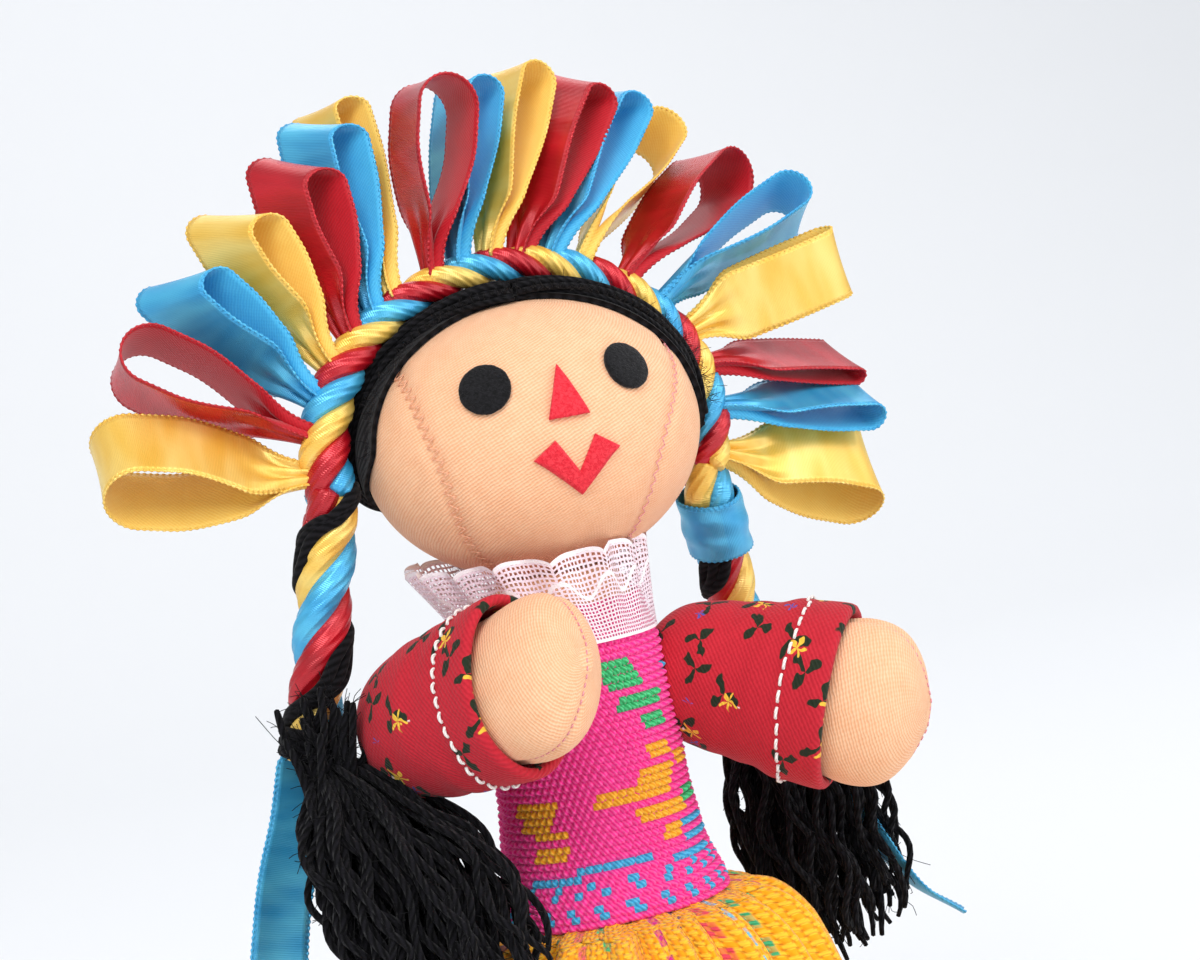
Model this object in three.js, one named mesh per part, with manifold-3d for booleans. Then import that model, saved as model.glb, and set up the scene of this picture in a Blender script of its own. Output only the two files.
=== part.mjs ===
// A ribbon-crowned cloth doll, standing on its felt shoes, in millimetres with +Z up.
// The doll faces -Y, so its right arm is on the -X side. The origin is on the floor, under the middle of the doll.
import * as THREE from "three";
import { mergeVertices } from "three/addons/utils/BufferGeometryUtils.js";
import Module from "manifold-3d";

const wasm = await Module();
wasm.setup();

// Clearance between pieces that touch
const GAP = 0.3;

// Shoes and legs
const SOLE_THICKNESS = 2;
const SHOE_LENGTH = 30;
const SHOE_WIDTH = 17;
const SHOE_HEIGHT = 12;
const SHOE_HEEL_BACK = 9; // from the leg's axis to the back of the heel
const ANKLE_RADIUS = 6;
const LEG_RADIUS = 8.5;
const LEG_SPACING = 19; // between the two legs' axes
const HIP_HEIGHT = 74;
const HIP_FORWARD = 4; // the hip axis lies this far in front of the torso's middle

// Torso: half width and half depth at each level
const SEAT_HEIGHT = 64;
const WAIST_HEIGHT = 96;
const SHOULDER_HEIGHT = 128.5;
const NECK_HEIGHT = 150;
const HIP_HALF = [17.5, 13];
const WAIST_HALF = [16.5, 12.5];
const CHEST_HALF = [14.5, 12];
const NECK_HALF = [9, 8.5];

// Head, hair and felt features
const HEAD_HALF = [27.8, 22.5, 22.5];
const HEAD_TIP_BACK = 4; // degrees, face lifted
const HEAD_SINK = 1.5; // how far the head settles over the neck
const HAIR_THICKNESS = 2.3;
const HAIR_LIFT = GAP + 0.25; // the hair's clearance over the rounder skin of the head
const HAIRLINE = 66; // degrees from the face's forward axis, at the brow and the temples
const NAPE_HAIRLINE = 132; // the same below the ears and at the nape
const FELT_THICKNESS = 0.8;
const EYE_RADIUS = 4.1;
const EYE_SPACING = 23;
const EYE_HEIGHT = 6.8; // above the head's middle
const NOSE_WIDTH = 6.8;
const NOSE_BASE = 0.3;
const NOSE_TOP = 9;
const MOUTH_HALF = 7;
const MOUTH_CORNER = -5.3;
const MOUTH_LIP_HALF = 3.2;
const MOUTH_LIP = -2.9;
const MOUTH_NOTCH = -8.1;
const MOUTH_CHIN = -11.8;

// Crown of plaited ribbon over the hair, and the satin ribbon of its loops
const CROWN_RADIUS = 2.9;
const CROWN_RIGHT_RADIUS = 3.9; // the plait is looser toward the doll's right ear
const CROWN_LIFT = 0.15; // its clearance over the flat faces of the hair's cap
const CROWN_BACK = 3; // the crown lies this far behind the head's middle
const CROWN_YAW = 10; // degrees, its left end set further back than its right
const CROWN_END_RIGHT = 4; // degrees that the crown runs down past the level of the head's middle
const CROWN_END_LEFT = 18;
const RIBBON_WIDTH = 12;
const RIBBON_THICKNESS = 0.5;
const RIBBON_PINCH = 3.4; // ribbon width where a loop is drawn into the crown

// Side braids, tassels and ribbon tails
const BRAID_RADIUS = 4.4;
const WRAP_START = 1.5; // below the pivot of the left braid
const BRAID_WRAP_LENGTH = 8;
const BRAID_WRAP_THICKNESS = 0.9;
const TIE_LENGTH = 3;
const TASSEL_RIGHT_LENGTH = 43;
const TASSEL_LEFT_LENGTH = 46;
const TASSEL_RIGHT_RADIUS = 11;
const TASSEL_LEFT_RADIUS = 11.5;
const TAIL_WIDTH = 10;

// Arms and sleeves
const SHOULDER_RIGHT = [-26, -9.5, SHOULDER_HEIGHT + 2];
const SHOULDER_LEFT = [23, -1, SHOULDER_HEIGHT - 1.5];
const ARM_LENGTH = 24.5; // from the shoulder's pivot to the middle of the hand
const ARM_RADIUS = 10.8;
const ARM_FLATNESS = 0.88; // an arm's thickness as a share of its height
const HAND_RADIUS = 12;
const ARM_RIGHT_OUT = -27; // degrees outward from straight ahead, so this arm points inward
const ARM_LEFT_OUT = 57;
const ARM_RIGHT_RISE = 14;
const ARM_LEFT_RISE = -17;
const SLEEVE_LENGTH = 21.5; // from the shoulder's pivot to the cuff
const SLEEVE_THICKNESS = 0.9;
const CUFF_RADIUS = 15.2;

// Bodice, lace collar and skirt
const BODICE_THICKNESS = 1;
const BODICE_HEM = 94;
const COLLAR_DROP = 12.5; // the seam that joins the lace to the bodice's neckline lies this far under the neck's top
const COLLAR_RISE = 13;
const COLLAR_FLARE = 5.6;
const COLLAR_SHIFT = -2.5; // the ruff stands a little to the doll's right
const COLLAR_THICKNESS = 0.6;
const SKIRT_THICKNESS = 0.8;
const SKIRT_HEM_HEIGHT = 20;
const SKIRT_HEM_HALF = [47, 43];
const SKIRT_SHOULDER_HALF = [30, 26]; // where the gathered cloth first turns down, under the waist
const SKIRT_SHOULDER_DROP = 12;
const SKIRT_PLEATS = 18;
const SKIRT_PLEAT_DEPTH = 1.8;
const BINDING_WIDTH = 3;
const BINDING_THICKNESS = 0.5;
const BINDING_TURN = 10; // degrees behind the doll's left side where the skirt's bound edge hangs

// The nineteen loops from the doll's right ear over the top to its left ear. Each row holds the colour, the angle
// of the root round the crown and of the loop's own direction, both in degrees from the doll's right, then its
// length and opening in millimetres, its lean back, the turn of its flat face out of the crown's plane and the
// slant of its far end, in degrees.
const LOOPS = [
  ["yellow", 0, 13, 33, 15, 2, -30, 0],
  ["red", 11, 34, 35, 10, 8, 68, 0],
  ["blue", 21, 47, 30, 5, 8, 60, -30],
  ["yellow", 31, 62, 31, 5, 10, 58, -30],
  ["red", 41, 76, 31, 5, 12, 56, -26],
  ["blue", 50, 85, 32, 5, 14, 56, -22],
  ["yellow", 59, 93, 37, 5, 16, 56, -20],
  ["red", 69, 102, 33, 6, 17, 62, -10],
  ["blue", 79, 111, 34, 5, 18, 60, -8],
  ["yellow", 88, 118, 35, 5, 20, 58, 0],
  ["red", 97, 126, 34, 5, 21, 56, 0],
  ["blue", 106, 133, 33, 5, 23, 58, 0],
  ["yellow", 116, 139, 33, 5, 27, 64, 0],
  ["red", 130, 153, 32, 7, 25, -72, 0],
  ["blue", 143, 162, 33, 6, 20, -58, 0],
  ["yellow", 155, 170, 33, 6, 7, -36, 0],
  ["red", 167, 185, 32, 5, 17, 36, 0],
  ["blue", 181, 190, 32, 5.5, 27, 36, 0],
  ["yellow", 195, 195, 31, 8, 36, 40, 0],
];

const COLOURS = {
  skin: 0xf0b585,
  hair: 0x17171a,
  felt_black: 0x1b1a1d,
  felt_red: 0xdc2b3b,
  yellow: 0xf0c257,
  red: 0xc3182b,
  blue: 0x3a9bd0,
  bodice: 0xe0168a,
  lace: 0xebd3e8,
  sleeve: 0xb81a2c,
  skirt: 0xf5a30a,
  binding: 0xb01626,
};

const radians = THREE.MathUtils.degToRad;
const vector = (x, y, z) => new THREE.Vector3(x, y, z);
const smooth = (x, low, high) => THREE.MathUtils.smoothstep(x, low, high);

// A named piece in a plain cloth-like material
function piece(name, colour, geometry) {
  const material = new THREE.MeshStandardMaterial({ color: COLOURS[colour], roughness: 0.9, metalness: 0 });
  const mesh = new THREE.Mesh(geometry, material);
  mesh.name = name;
  return mesh;
}

// The signed volume of a closed surface: negative when its faces point in
function signedVolume(positions, index) {
  const [a, b, c] = [vector(0, 0, 0), vector(0, 0, 0), vector(0, 0, 0)];
  let volume = 0;
  for (let i = 0; i < index.length; i += 3) {
    a.fromArray(positions, 3 * index[i]);
    b.fromArray(positions, 3 * index[i + 1]);
    c.fromArray(positions, 3 * index[i + 2]);
    volume += a.dot(b.cross(c)) / 6;
  }
  return volume;
}

// A closed surface through rings of points. Its ends are closed with fans, or joined to each other when looped.
function skin(rings, looped = false) {
  const sides = rings[0].length;
  const points = rings.flat();
  const index = [];
  const bands = looped ? rings.length : rings.length - 1;
  for (let i = 0; i < bands; i++) {
    const next = (i + 1) % rings.length;
    for (let j = 0; j < sides; j++) {
      const k = (j + 1) % sides;
      const [a, b, c, d] = [i * sides + j, i * sides + k, next * sides + k, next * sides + j];
      index.push(a, b, c, a, c, d);
    }
  }
  if (!looped) {
    const last = (rings.length - 1) * sides;
    for (const [start, flip] of [[0, true], [last, false]]) {
      const ring = points.slice(start, start + sides);
      const middle = ring.reduce((sum, p) => sum.add(p), vector(0, 0, 0)).divideScalar(sides);
      const centre = points.push(middle) - 1;
      for (let j = 0; j < sides; j++) {
        const [p, q] = [start + j, start + (j + 1) % sides];
        index.push(...(flip ? [centre, q, p] : [centre, p, q]));
      }
    }
  }
  const positions = new Float32Array(points.flatMap((p) => [p.x, p.y, p.z]));
  if (signedVolume(positions, index) < 0) index.reverse();
  const geometry = new THREE.BufferGeometry();
  geometry.setAttribute("position", new THREE.BufferAttribute(positions, 3));
  geometry.setIndex(index);
  return geometry;
}

// A geometry as a solid for boolean work, and back
function toSolid(geometry, matrix = new THREE.Matrix4()) {
  const bare = geometry.clone().applyMatrix4(matrix);
  bare.deleteAttribute("normal");
  bare.deleteAttribute("uv");
  const merged = mergeVertices(bare, 1e-3);
  return new wasm.Manifold(new wasm.Mesh({
    numProp: 3,
    vertProperties: new Float32Array(merged.attributes.position.array),
    triVerts: new Uint32Array(merged.index.array),
  }));
}

function fromSolid(solid, matrix = new THREE.Matrix4()) {
  const mesh = solid.getMesh();
  const geometry = new THREE.BufferGeometry();
  geometry.setAttribute("position", new THREE.BufferAttribute(new Float32Array(mesh.vertProperties), 3));
  geometry.setIndex(new THREE.BufferAttribute(new Uint32Array(mesh.triVerts), 1));
  return geometry.applyMatrix4(matrix);
}

// A level ring whose corners are as square as the power says: 2 is an ellipse
function levelRing(z, half, sides, power = 2, middle = [0, 0]) {
  return Array.from({ length: sides }, (_, i) => {
    const turn = 2 * Math.PI * i / sides;
    const [c, s] = [Math.cos(turn), Math.sin(turn)];
    const x = half[0] * Math.sign(c) * Math.abs(c) ** (2 / power);
    const y = half[1] * Math.sign(s) * Math.abs(s) ** (2 / power);
    return vector(middle[0] + x, middle[1] + y, z);
  });
}

const POWER = 2.3; // squareness of the torso's sections
const grow = (half, amount) => half.map((h) => h + amount);

// The torso's half width and half depth at any height: straight runs between the named levels, with the neck's
// section carried on above the last
const TORSO_LEVELS = [
  [SEAT_HEIGHT, [10, 7]],
  [SEAT_HEIGHT + 3, [14.5, 10.5]],
  [HIP_HEIGHT, HIP_HALF],
  [(HIP_HEIGHT + WAIST_HEIGHT) / 2, HIP_HALF],
  [WAIST_HEIGHT, WAIST_HALF],
  [(WAIST_HEIGHT + SHOULDER_HEIGHT) / 2, CHEST_HALF],
  [SHOULDER_HEIGHT, CHEST_HALF],
  [SHOULDER_HEIGHT + 8, [CHEST_HALF[0] - 1, CHEST_HALF[1] - 0.5]],
  [NECK_HEIGHT - 6, [(CHEST_HALF[0] + NECK_HALF[0]) / 2, (CHEST_HALF[1] + NECK_HALF[1]) / 2]],
  [NECK_HEIGHT, NECK_HALF],
];

function torsoHalf(z) {
  const above = TORSO_LEVELS.findIndex(([level]) => level >= z);
  if (above < 0) return NECK_HALF;
  const [z0, half0] = TORSO_LEVELS[Math.max(above - 1, 0)];
  const [z1, half1] = TORSO_LEVELS[above];
  const t = z1 > z0 ? (z - z0) / (z1 - z0) : 0;
  return [0, 1].map((i) => THREE.MathUtils.lerp(half0[i], half1[i], t));
}

const HEAD_MIDDLE = vector(0, 0, NECK_HEIGHT - HEAD_SINK + HEAD_HALF[2]);
const headTurn = new THREE.Matrix4().makeRotationX(-radians(HEAD_TIP_BACK));
const headPlace = headTurn.clone().setPosition(HEAD_MIDDLE);

function ellipsoid(half, across, down) {
  return new THREE.SphereGeometry(1, across, down).rotateX(Math.PI / 2).scale(...half);
}

// The room that the head takes, which cuts the neck
const headRoom = toSolid(ellipsoid(grow(HEAD_HALF, GAP), 28, 18), headPlace);

// Arms: a stuffed tube with a ball at the shoulder, a waist under the cuff and a rounded hand, along +Z
const ARM_PROFILE = [
  [-ARM_RADIUS, 0],
  [-ARM_RADIUS * 0.87, ARM_RADIUS * 0.5],
  [-ARM_RADIUS * 0.5, ARM_RADIUS * 0.87],
  [0, ARM_RADIUS],
  [ARM_LENGTH * 0.45, ARM_RADIUS],
  [ARM_LENGTH - HAND_RADIUS * 0.6, HAND_RADIUS * 0.96],
  [ARM_LENGTH, HAND_RADIUS],
  [ARM_LENGTH + HAND_RADIUS * 0.5, HAND_RADIUS * 0.86],
  [ARM_LENGTH + HAND_RADIUS * 0.84, HAND_RADIUS * 0.52],
  [ARM_LENGTH + HAND_RADIUS, 0],
];

function lathe(profile, sides) {
  const points = profile.map(([along, radius]) => new THREE.Vector2(radius, along));
  return new THREE.LatheGeometry(points, sides).rotateX(Math.PI / 2);
}

// Sleeve: a tube of printed cloth round the arm, closed in round the shoulder and wide at the cuff
const SLEEVE_BORE = ARM_RADIUS + GAP;
const SHOULDER_ROOM = SLEEVE_BORE + SLEEVE_THICKNESS + GAP;

function sleeveGeometry() {
  const outer = (radius) => radius + SLEEVE_THICKNESS;
  const capAngles = [55, 35, 15].map(radians);
  const bore = [
    ...capAngles.map((a) => [-SLEEVE_BORE * Math.sin(a), SLEEVE_BORE * Math.cos(a)]),
    [0, SLEEVE_BORE],
    [SLEEVE_LENGTH * 0.4, (SLEEVE_BORE + CUFF_RADIUS - SLEEVE_THICKNESS) / 2 + 0.4],
    [SLEEVE_LENGTH * 0.8, CUFF_RADIUS - SLEEVE_THICKNESS],
    [SLEEVE_LENGTH, CUFF_RADIUS - SLEEVE_THICKNESS],
  ];
  const skinPoints = [
    [SLEEVE_LENGTH, CUFF_RADIUS],
    [SLEEVE_LENGTH * 0.8, CUFF_RADIUS],
    [SLEEVE_LENGTH * 0.4, outer((SLEEVE_BORE + CUFF_RADIUS - SLEEVE_THICKNESS) / 2 + 0.4)],
    [0, outer(SLEEVE_BORE)],
    ...[...capAngles].reverse().map((a) => [-outer(SLEEVE_BORE) * Math.sin(a), outer(SLEEVE_BORE) * Math.cos(a)]),
  ];
  const sides = 26;
  const rings = [...bore, ...skinPoints].map(([z, r]) => levelRing(z, [r, r], sides));
  return skin(rings, true).scale(ARM_FLATNESS + 2 * GAP / CUFF_RADIUS, 1, 1);
}

function armGroup(side, place, out, rise, sign) {
  const group = new THREE.Group();
  group.position.set(...place);
  group.quaternion.setFromRotationMatrix(armTurn(out, rise, sign));
  group.add(piece(`arm_${side}`, "skin", lathe(ARM_PROFILE, 22).scale(ARM_FLATNESS, 1, 1)));
  group.add(piece(`sleeve_${side}`, "sleeve", sleeveGeometry()));
  return group;
}

// The turn of an arm whose local +Z points along it and whose local X is the hinge's level axis
function armTurn(out, rise, sign) {
  const [o, r] = [radians(out), radians(rise)];
  const pointing = vector(sign * Math.sin(o) * Math.cos(r), -Math.cos(o) * Math.cos(r), Math.sin(r));
  const hinge = vector(0, 0, 1).cross(pointing).normalize();
  return new THREE.Matrix4().makeBasis(hinge, pointing.clone().cross(hinge), pointing);
}

// The room that each shoulder needs in the torso and the bodice, which turns with the arm
const shoulderRooms = [
  [SHOULDER_RIGHT, ARM_RIGHT_OUT, ARM_RIGHT_RISE, -1],
  [SHOULDER_LEFT, ARM_LEFT_OUT, ARM_LEFT_RISE, 1],
].map(([place, out, rise, sign]) => {
  const half = [SHOULDER_ROOM * ARM_FLATNESS + GAP, SHOULDER_ROOM, SHOULDER_ROOM];
  return toSolid(ellipsoid(half, 22, 14), armTurn(out, rise, sign).setPosition(...place));
});

const withRoomForArms = (solid) => shoulderRooms.reduce((rest, room) => rest.subtract(room), solid);

// Torso: a stuffed body with room for the head, the shoulders and the legs as they fold forward
function torsoGeometry() {
  const levels = TORSO_LEVELS.map(([z, half]) => levelRing(z, half, 26, POWER));
  const reach = 4 * HIP_HALF[0];
  const hip = LEG_RADIUS + GAP;
  const hipBall = new THREE.CylinderGeometry(hip, hip, reach, 28).rotateZ(Math.PI / 2)
    .translate(0, -HIP_FORWARD, HIP_HEIGHT);
  const below = new THREE.BoxGeometry(reach, reach, reach)
    .translate(0, -HIP_FORWARD + hip - reach / 2, HIP_HEIGHT - reach / 2);
  const ahead = new THREE.BoxGeometry(reach, reach, reach)
    .translate(0, -HIP_FORWARD - reach / 2, HIP_HEIGHT + hip - reach / 2);
  const legRoom = [hipBall, below, ahead].map((g) => toSolid(g)).reduce((sum, s) => sum.add(s));
  return fromSolid(withRoomForArms(toSolid(skin(levels)).subtract(headRoom).subtract(legRoom)));
}

// A shell round the torso from one height to another, standing off it by a clearance at each level
function torsoShell(levels, thickness, sides) {
  const inner = levels.map(([z, half]) => levelRing(z, half, sides, POWER));
  const outer = levels.map(([z, half]) => levelRing(z, grow(half, thickness), sides, POWER));
  return skin([...inner, ...outer.reverse()], true);
}

const SKIRT_WAIST_HALF = grow(torsoHalf(WAIST_HEIGHT), GAP);
const SKIRT_TOP = WAIST_HEIGHT + 2;
const COLLAR_SEAM = NECK_HEIGHT - COLLAR_DROP;

function bodiceGeometry() {
  const overSkirt = grow(SKIRT_WAIST_HALF, SKIRT_THICKNESS + GAP);
  const top = NECK_HEIGHT - 6;
  const levels = [
    [BODICE_HEM, grow(overSkirt, 0.8)],
    [SKIRT_TOP + 1, overSkirt],
    [SKIRT_TOP + 6, grow(torsoHalf(SKIRT_TOP + 6), GAP)],
    [(WAIST_HEIGHT + SHOULDER_HEIGHT) / 2, grow(CHEST_HALF, GAP)],
    [SHOULDER_HEIGHT, grow(CHEST_HALF, GAP)],
    [SHOULDER_HEIGHT + 8, grow(torsoHalf(SHOULDER_HEIGHT + 8), GAP)],
    [top, grow(torsoHalf(top), GAP)],
  ];
  return fromSolid(withRoomForArms(toSolid(torsoShell(levels, BODICE_THICKNESS, 26))));
}

// Lace collar: a gathered ring of net sewn round the neckline, standing up and out round the chin
function collarGeometry() {
  const sides = 48;
  const seam = grow(torsoHalf(COLLAR_SEAM), GAP + BODICE_THICKNESS + GAP);
  const ring = (share, extra) => levelRing(COLLAR_SEAM, seam, sides, POWER).map((p, i) => {
    const ripple = Math.cos(Math.PI * i / 2) * share;
    const push = vector(p.x, p.y, 0).normalize().multiplyScalar(COLLAR_FLARE * share + 0.5 * ripple + extra);
    return p.clone().add(push).add(vector(COLLAR_SHIFT * share, 0, COLLAR_RISE * share + 0.8 * ripple));
  });
  const shares = [0, 0.5, 1];
  const inner = shares.map((share) => ring(share, 0));
  const outer = shares.map((share) => ring(share, COLLAR_THICKNESS));
  return skin([...inner, ...outer.reverse()], true);
}

// Skirt: gathered at the waist, turning down over the hips and flaring to the hem in soft pleats
function skirtLevels() {
  const shoulder = WAIST_HEIGHT - SKIRT_SHOULDER_DROP;
  const mid = (shoulder + SKIRT_HEM_HEIGHT) / 2;
  const between = (a, b, share, extra) => a.map((h, i) => THREE.MathUtils.lerp(h, b[i], share) + extra);
  const midHalf = between(SKIRT_SHOULDER_HALF, SKIRT_HEM_HALF, 0.62, 0);
  return [
    [SKIRT_TOP, SKIRT_WAIST_HALF, 0],
    [BODICE_HEM - 0.5, grow(SKIRT_WAIST_HALF, 0.2), 0],
    [(BODICE_HEM + shoulder) / 2 + 2, between(SKIRT_WAIST_HALF, SKIRT_SHOULDER_HALF, 0.5, 1), 0.5],
    [shoulder, SKIRT_SHOULDER_HALF, 0.8],
    [(shoulder + mid) / 2, between(SKIRT_SHOULDER_HALF, midHalf, 0.5, 1), 1],
    [mid, midHalf, 1],
    [SKIRT_HEM_HEIGHT, SKIRT_HEM_HALF, 1],
  ];
}

function skirtRing([z, half, pleat], extra, sides) {
  const power = pleat > 0 ? 2 : POWER;
  return levelRing(z, half, sides, power).map((p, i) => {
    const fold = SKIRT_PLEAT_DEPTH * pleat * Math.cos(Math.PI * i / 2);
    return p.clone().add(vector(p.x, p.y, 0).normalize().multiplyScalar(fold + extra));
  });
}

function skirtGeometry() {
  const sides = SKIRT_PLEATS * 4;
  const inner = skirtLevels().map((level) => skirtRing(level, 0, sides));
  const outer = skirtLevels().map((level) => skirtRing(level, SKIRT_THICKNESS, sides));
  return skin([...inner, ...outer.reverse()], true);
}

// The bound edge of the skirt's cloth, a red strip that hangs down the outside near the doll's left side
function bindingGeometry() {
  const sides = SKIRT_PLEATS * 4;
  const step = Math.round(BINDING_TURN / 360 * sides / 4) * 4;
  const off = SKIRT_THICKNESS + GAP + BINDING_THICKNESS;
  const path = skirtLevels().slice(2).map((level) => skirtRing(level, off, sides)[step]);
  const along = radians(360 * step / sides);
  const sideways = vector(-Math.sin(along), Math.cos(along), 0);
  return band(path, path.map(() => sideways), path.map(() => BINDING_WIDTH), BINDING_THICKNESS);
}

// Legs: a stuffed tube with a ball at the hip and an ankle drawn into the shoe
function legGeometry() {
  const ankle = SHOE_HEIGHT - 3;
  const hip = HIP_HEIGHT;
  const profile = [
    [ankle, 0],
    [ankle, ANKLE_RADIUS - 0.8],
    [ankle + 4, ANKLE_RADIUS],
    [(ankle + hip) * 0.4, (ANKLE_RADIUS + LEG_RADIUS) / 2],
    [(ankle + hip) * 0.62, LEG_RADIUS - 0.3],
    [hip, LEG_RADIUS],
    [hip + LEG_RADIUS * 0.5, LEG_RADIUS * 0.86],
    [hip + LEG_RADIUS * 0.86, LEG_RADIUS * 0.5],
    [hip + LEG_RADIUS, 0],
  ];
  return lathe(profile, 18);
}

// Shoe upper: a rounded felt slipper over the foot, open at the ankle, on its own sole
const SHOE_MIDDLE = SHOE_LENGTH / 2 - SHOE_HEEL_BACK; // the shoe's middle lies this far ahead of the leg's axis

function shoeGeometry() {
  const levels = [
    [SOLE_THICKNESS + GAP, 0.94, 0],
    [SOLE_THICKNESS + SHOE_HEIGHT * 0.25, 1, 0],
    [SOLE_THICKNESS + SHOE_HEIGHT * 0.5, 0.94, 0.5],
    [SHOE_HEIGHT - 1, 0.74, 2.5],
    [SHOE_HEIGHT, 0.62, 3.2],
  ].map(([z, share, back]) => levelRing(z, [SHOE_WIDTH / 2 * share, SHOE_LENGTH / 2 * share], 22, 2.3, [0, back - SHOE_MIDDLE]));
  const ankleRoom = new THREE.CylinderGeometry(ANKLE_RADIUS + GAP, ANKLE_RADIUS + GAP, SHOE_HEIGHT, 24)
    .rotateX(Math.PI / 2).translate(0, 0, SHOE_HEIGHT - 3 - GAP + SHOE_HEIGHT / 2);
  return fromSolid(toSolid(skin(levels)).subtract(toSolid(ankleRoom)));
}

function soleGeometry() {
  const half = [SHOE_WIDTH / 2, SHOE_LENGTH / 2];
  const place = [0, -SHOE_MIDDLE];
  return skin([levelRing(0, half, 26, 2.4, place), levelRing(SOLE_THICKNESS, half, 26, 2.4, place)]);
}

function legGroup(side, sign) {
  const group = new THREE.Group();
  group.position.set(sign * LEG_SPACING / 2, -HIP_FORWARD, 0);
  group.add(piece(`leg_${side}`, "skin", legGeometry()));
  group.add(piece(`shoe_${side}`, "felt_black", shoeGeometry()));
  group.add(piece(`sole_${side}`, "felt_black", soleGeometry()));
  return group;
}

// Hair: a cap of laid yarn over the head's back, sides and top, open round the face and at the nape
function hairGeometry() {
  const [around, along] = [40, 9];
  const inner = grow(HEAD_HALF, HAIR_LIFT);
  const outer = grow(inner, HAIR_THICKNESS);
  const ring = (share, half) => Array.from({ length: around }, (_, i) => {
    const turn = 2 * Math.PI * i / around; // 0 at the top of the face
    const low = (1 - Math.cos(turn)) / 2;
    const start = HAIRLINE + (NAPE_HAIRLINE - HAIRLINE) * smooth(low, 0.5, 1);
    const angle = radians(start + (180 - start) * share);
    return vector(
      half[0] * Math.sin(angle) * Math.sin(turn),
      -half[1] * Math.cos(angle),
      half[2] * Math.sin(angle) * Math.cos(turn),
    );
  });
  const shares = Array.from({ length: along }, (_, i) => i / along);
  const outside = shares.map((share) => ring(share, outer));
  const inside = shares.map((share) => ring(share, inner));
  const rings = [...outside.reverse(), ...inside];
  return skin(rings);
}

// Felt features, cut flat and laid on the face where it is level with their middle
function onFace(name, colour, outline, x, z) {
  const [hx, hy, hz] = HEAD_HALF;
  const y = -hy * Math.sqrt(1 - (x / hx) ** 2 - (z / hz) ** 2);
  const normal = vector(x / hx ** 2, y / hy ** 2, z / hz ** 2).normalize();
  const geometry = new THREE.ExtrudeGeometry(outline, { depth: FELT_THICKNESS, bevelEnabled: false, curveSegments: 8 });
  const mesh = piece(name, colour, geometry);
  const across = vector(0, 0, 1).cross(normal).normalize();
  const up = normal.clone().cross(across);
  mesh.quaternion.setFromRotationMatrix(new THREE.Matrix4().makeBasis(across, up, normal));
  mesh.position.set(x, y, z).addScaledVector(normal, GAP);
  return mesh;
}

function outlineOf(points) {
  return new THREE.Shape(points.map(([x, y]) => new THREE.Vector2(x, y)));
}

function faceFeatures() {
  const disc = new THREE.Shape().absarc(0, 0, EYE_RADIUS, 0, 2 * Math.PI);
  const noseMiddle = (NOSE_BASE + NOSE_TOP) / 2;
  const nose = [[-NOSE_WIDTH / 2, NOSE_BASE], [NOSE_WIDTH / 2, NOSE_BASE], [0, NOSE_TOP]];
  const mouthMiddle = (MOUTH_LIP + MOUTH_CHIN) / 2;
  const mouth = [
    [0, MOUTH_CHIN], [MOUTH_HALF, MOUTH_CORNER], [MOUTH_LIP_HALF, MOUTH_LIP],
    [0, MOUTH_NOTCH], [-MOUTH_LIP_HALF, MOUTH_LIP], [-MOUTH_HALF, MOUTH_CORNER],
  ];
  const lower = (points, middle) => outlineOf(points.map(([x, y]) => [x, y - middle]));
  return [
    onFace("eye_right", "felt_black", disc, -EYE_SPACING / 2, EYE_HEIGHT),
    onFace("eye_left", "felt_black", disc, EYE_SPACING / 2, EYE_HEIGHT),
    onFace("nose", "felt_red", lower(nose, noseMiddle), 0, noseMiddle),
    onFace("mouth", "felt_red", lower(mouth, mouthMiddle), 0, mouthMiddle),
  ];
}

// Crown: the middle line of the plait, over the hair from ear to ear, and the outward direction at each angle
const crownTurn = new THREE.Matrix4().makeRotationZ(radians(CROWN_YAW));
const CROWN_HALF = (() => {
  const hair = grow(HEAD_HALF, HAIR_LIFT + HAIR_THICKNESS);
  const share = Math.sqrt(1 - (CROWN_BACK / hair[1]) ** 2);
  return [hair[0] * share + GAP, hair[2] * share + GAP];
})();

const crownRadius = (degrees) =>
  THREE.MathUtils.lerp(CROWN_RIGHT_RADIUS, CROWN_RADIUS, smooth(degrees, 0, 70));

function crownOutward(degrees) {
  const a = radians(degrees);
  return vector(-Math.cos(a) / CROWN_HALF[0], 0, Math.sin(a) / CROWN_HALF[1]).normalize().applyMatrix4(crownTurn);
}

function crownPoint(degrees) {
  const a = radians(degrees);
  const level = vector(-CROWN_HALF[0] * Math.cos(a), 0, CROWN_HALF[1] * Math.sin(a)).applyMatrix4(crownTurn);
  return level.add(vector(0, CROWN_BACK, 0)).addScaledVector(crownOutward(degrees), crownRadius(degrees) + CROWN_LIFT);
}

function crownGeometry() {
  const steps = 44;
  const crownBack = vector(0, 1, 0).applyMatrix4(crownTurn);
  const rings = Array.from({ length: steps + 1 }, (_, i) => {
    const degrees = -CROWN_END_RIGHT + (180 + CROWN_END_RIGHT + CROWN_END_LEFT) * i / steps;
    const middle = crownPoint(degrees);
    const outward = crownOutward(degrees);
    return Array.from({ length: 8 }, (_, j) => {
      const turn = 2 * Math.PI * j / 8;
      return middle.clone()
        .addScaledVector(outward, crownRadius(degrees) * Math.cos(turn))
        .addScaledVector(crownBack, crownRadius(degrees) * Math.sin(turn));
    });
  });
  return skin(rings);
}

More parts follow.
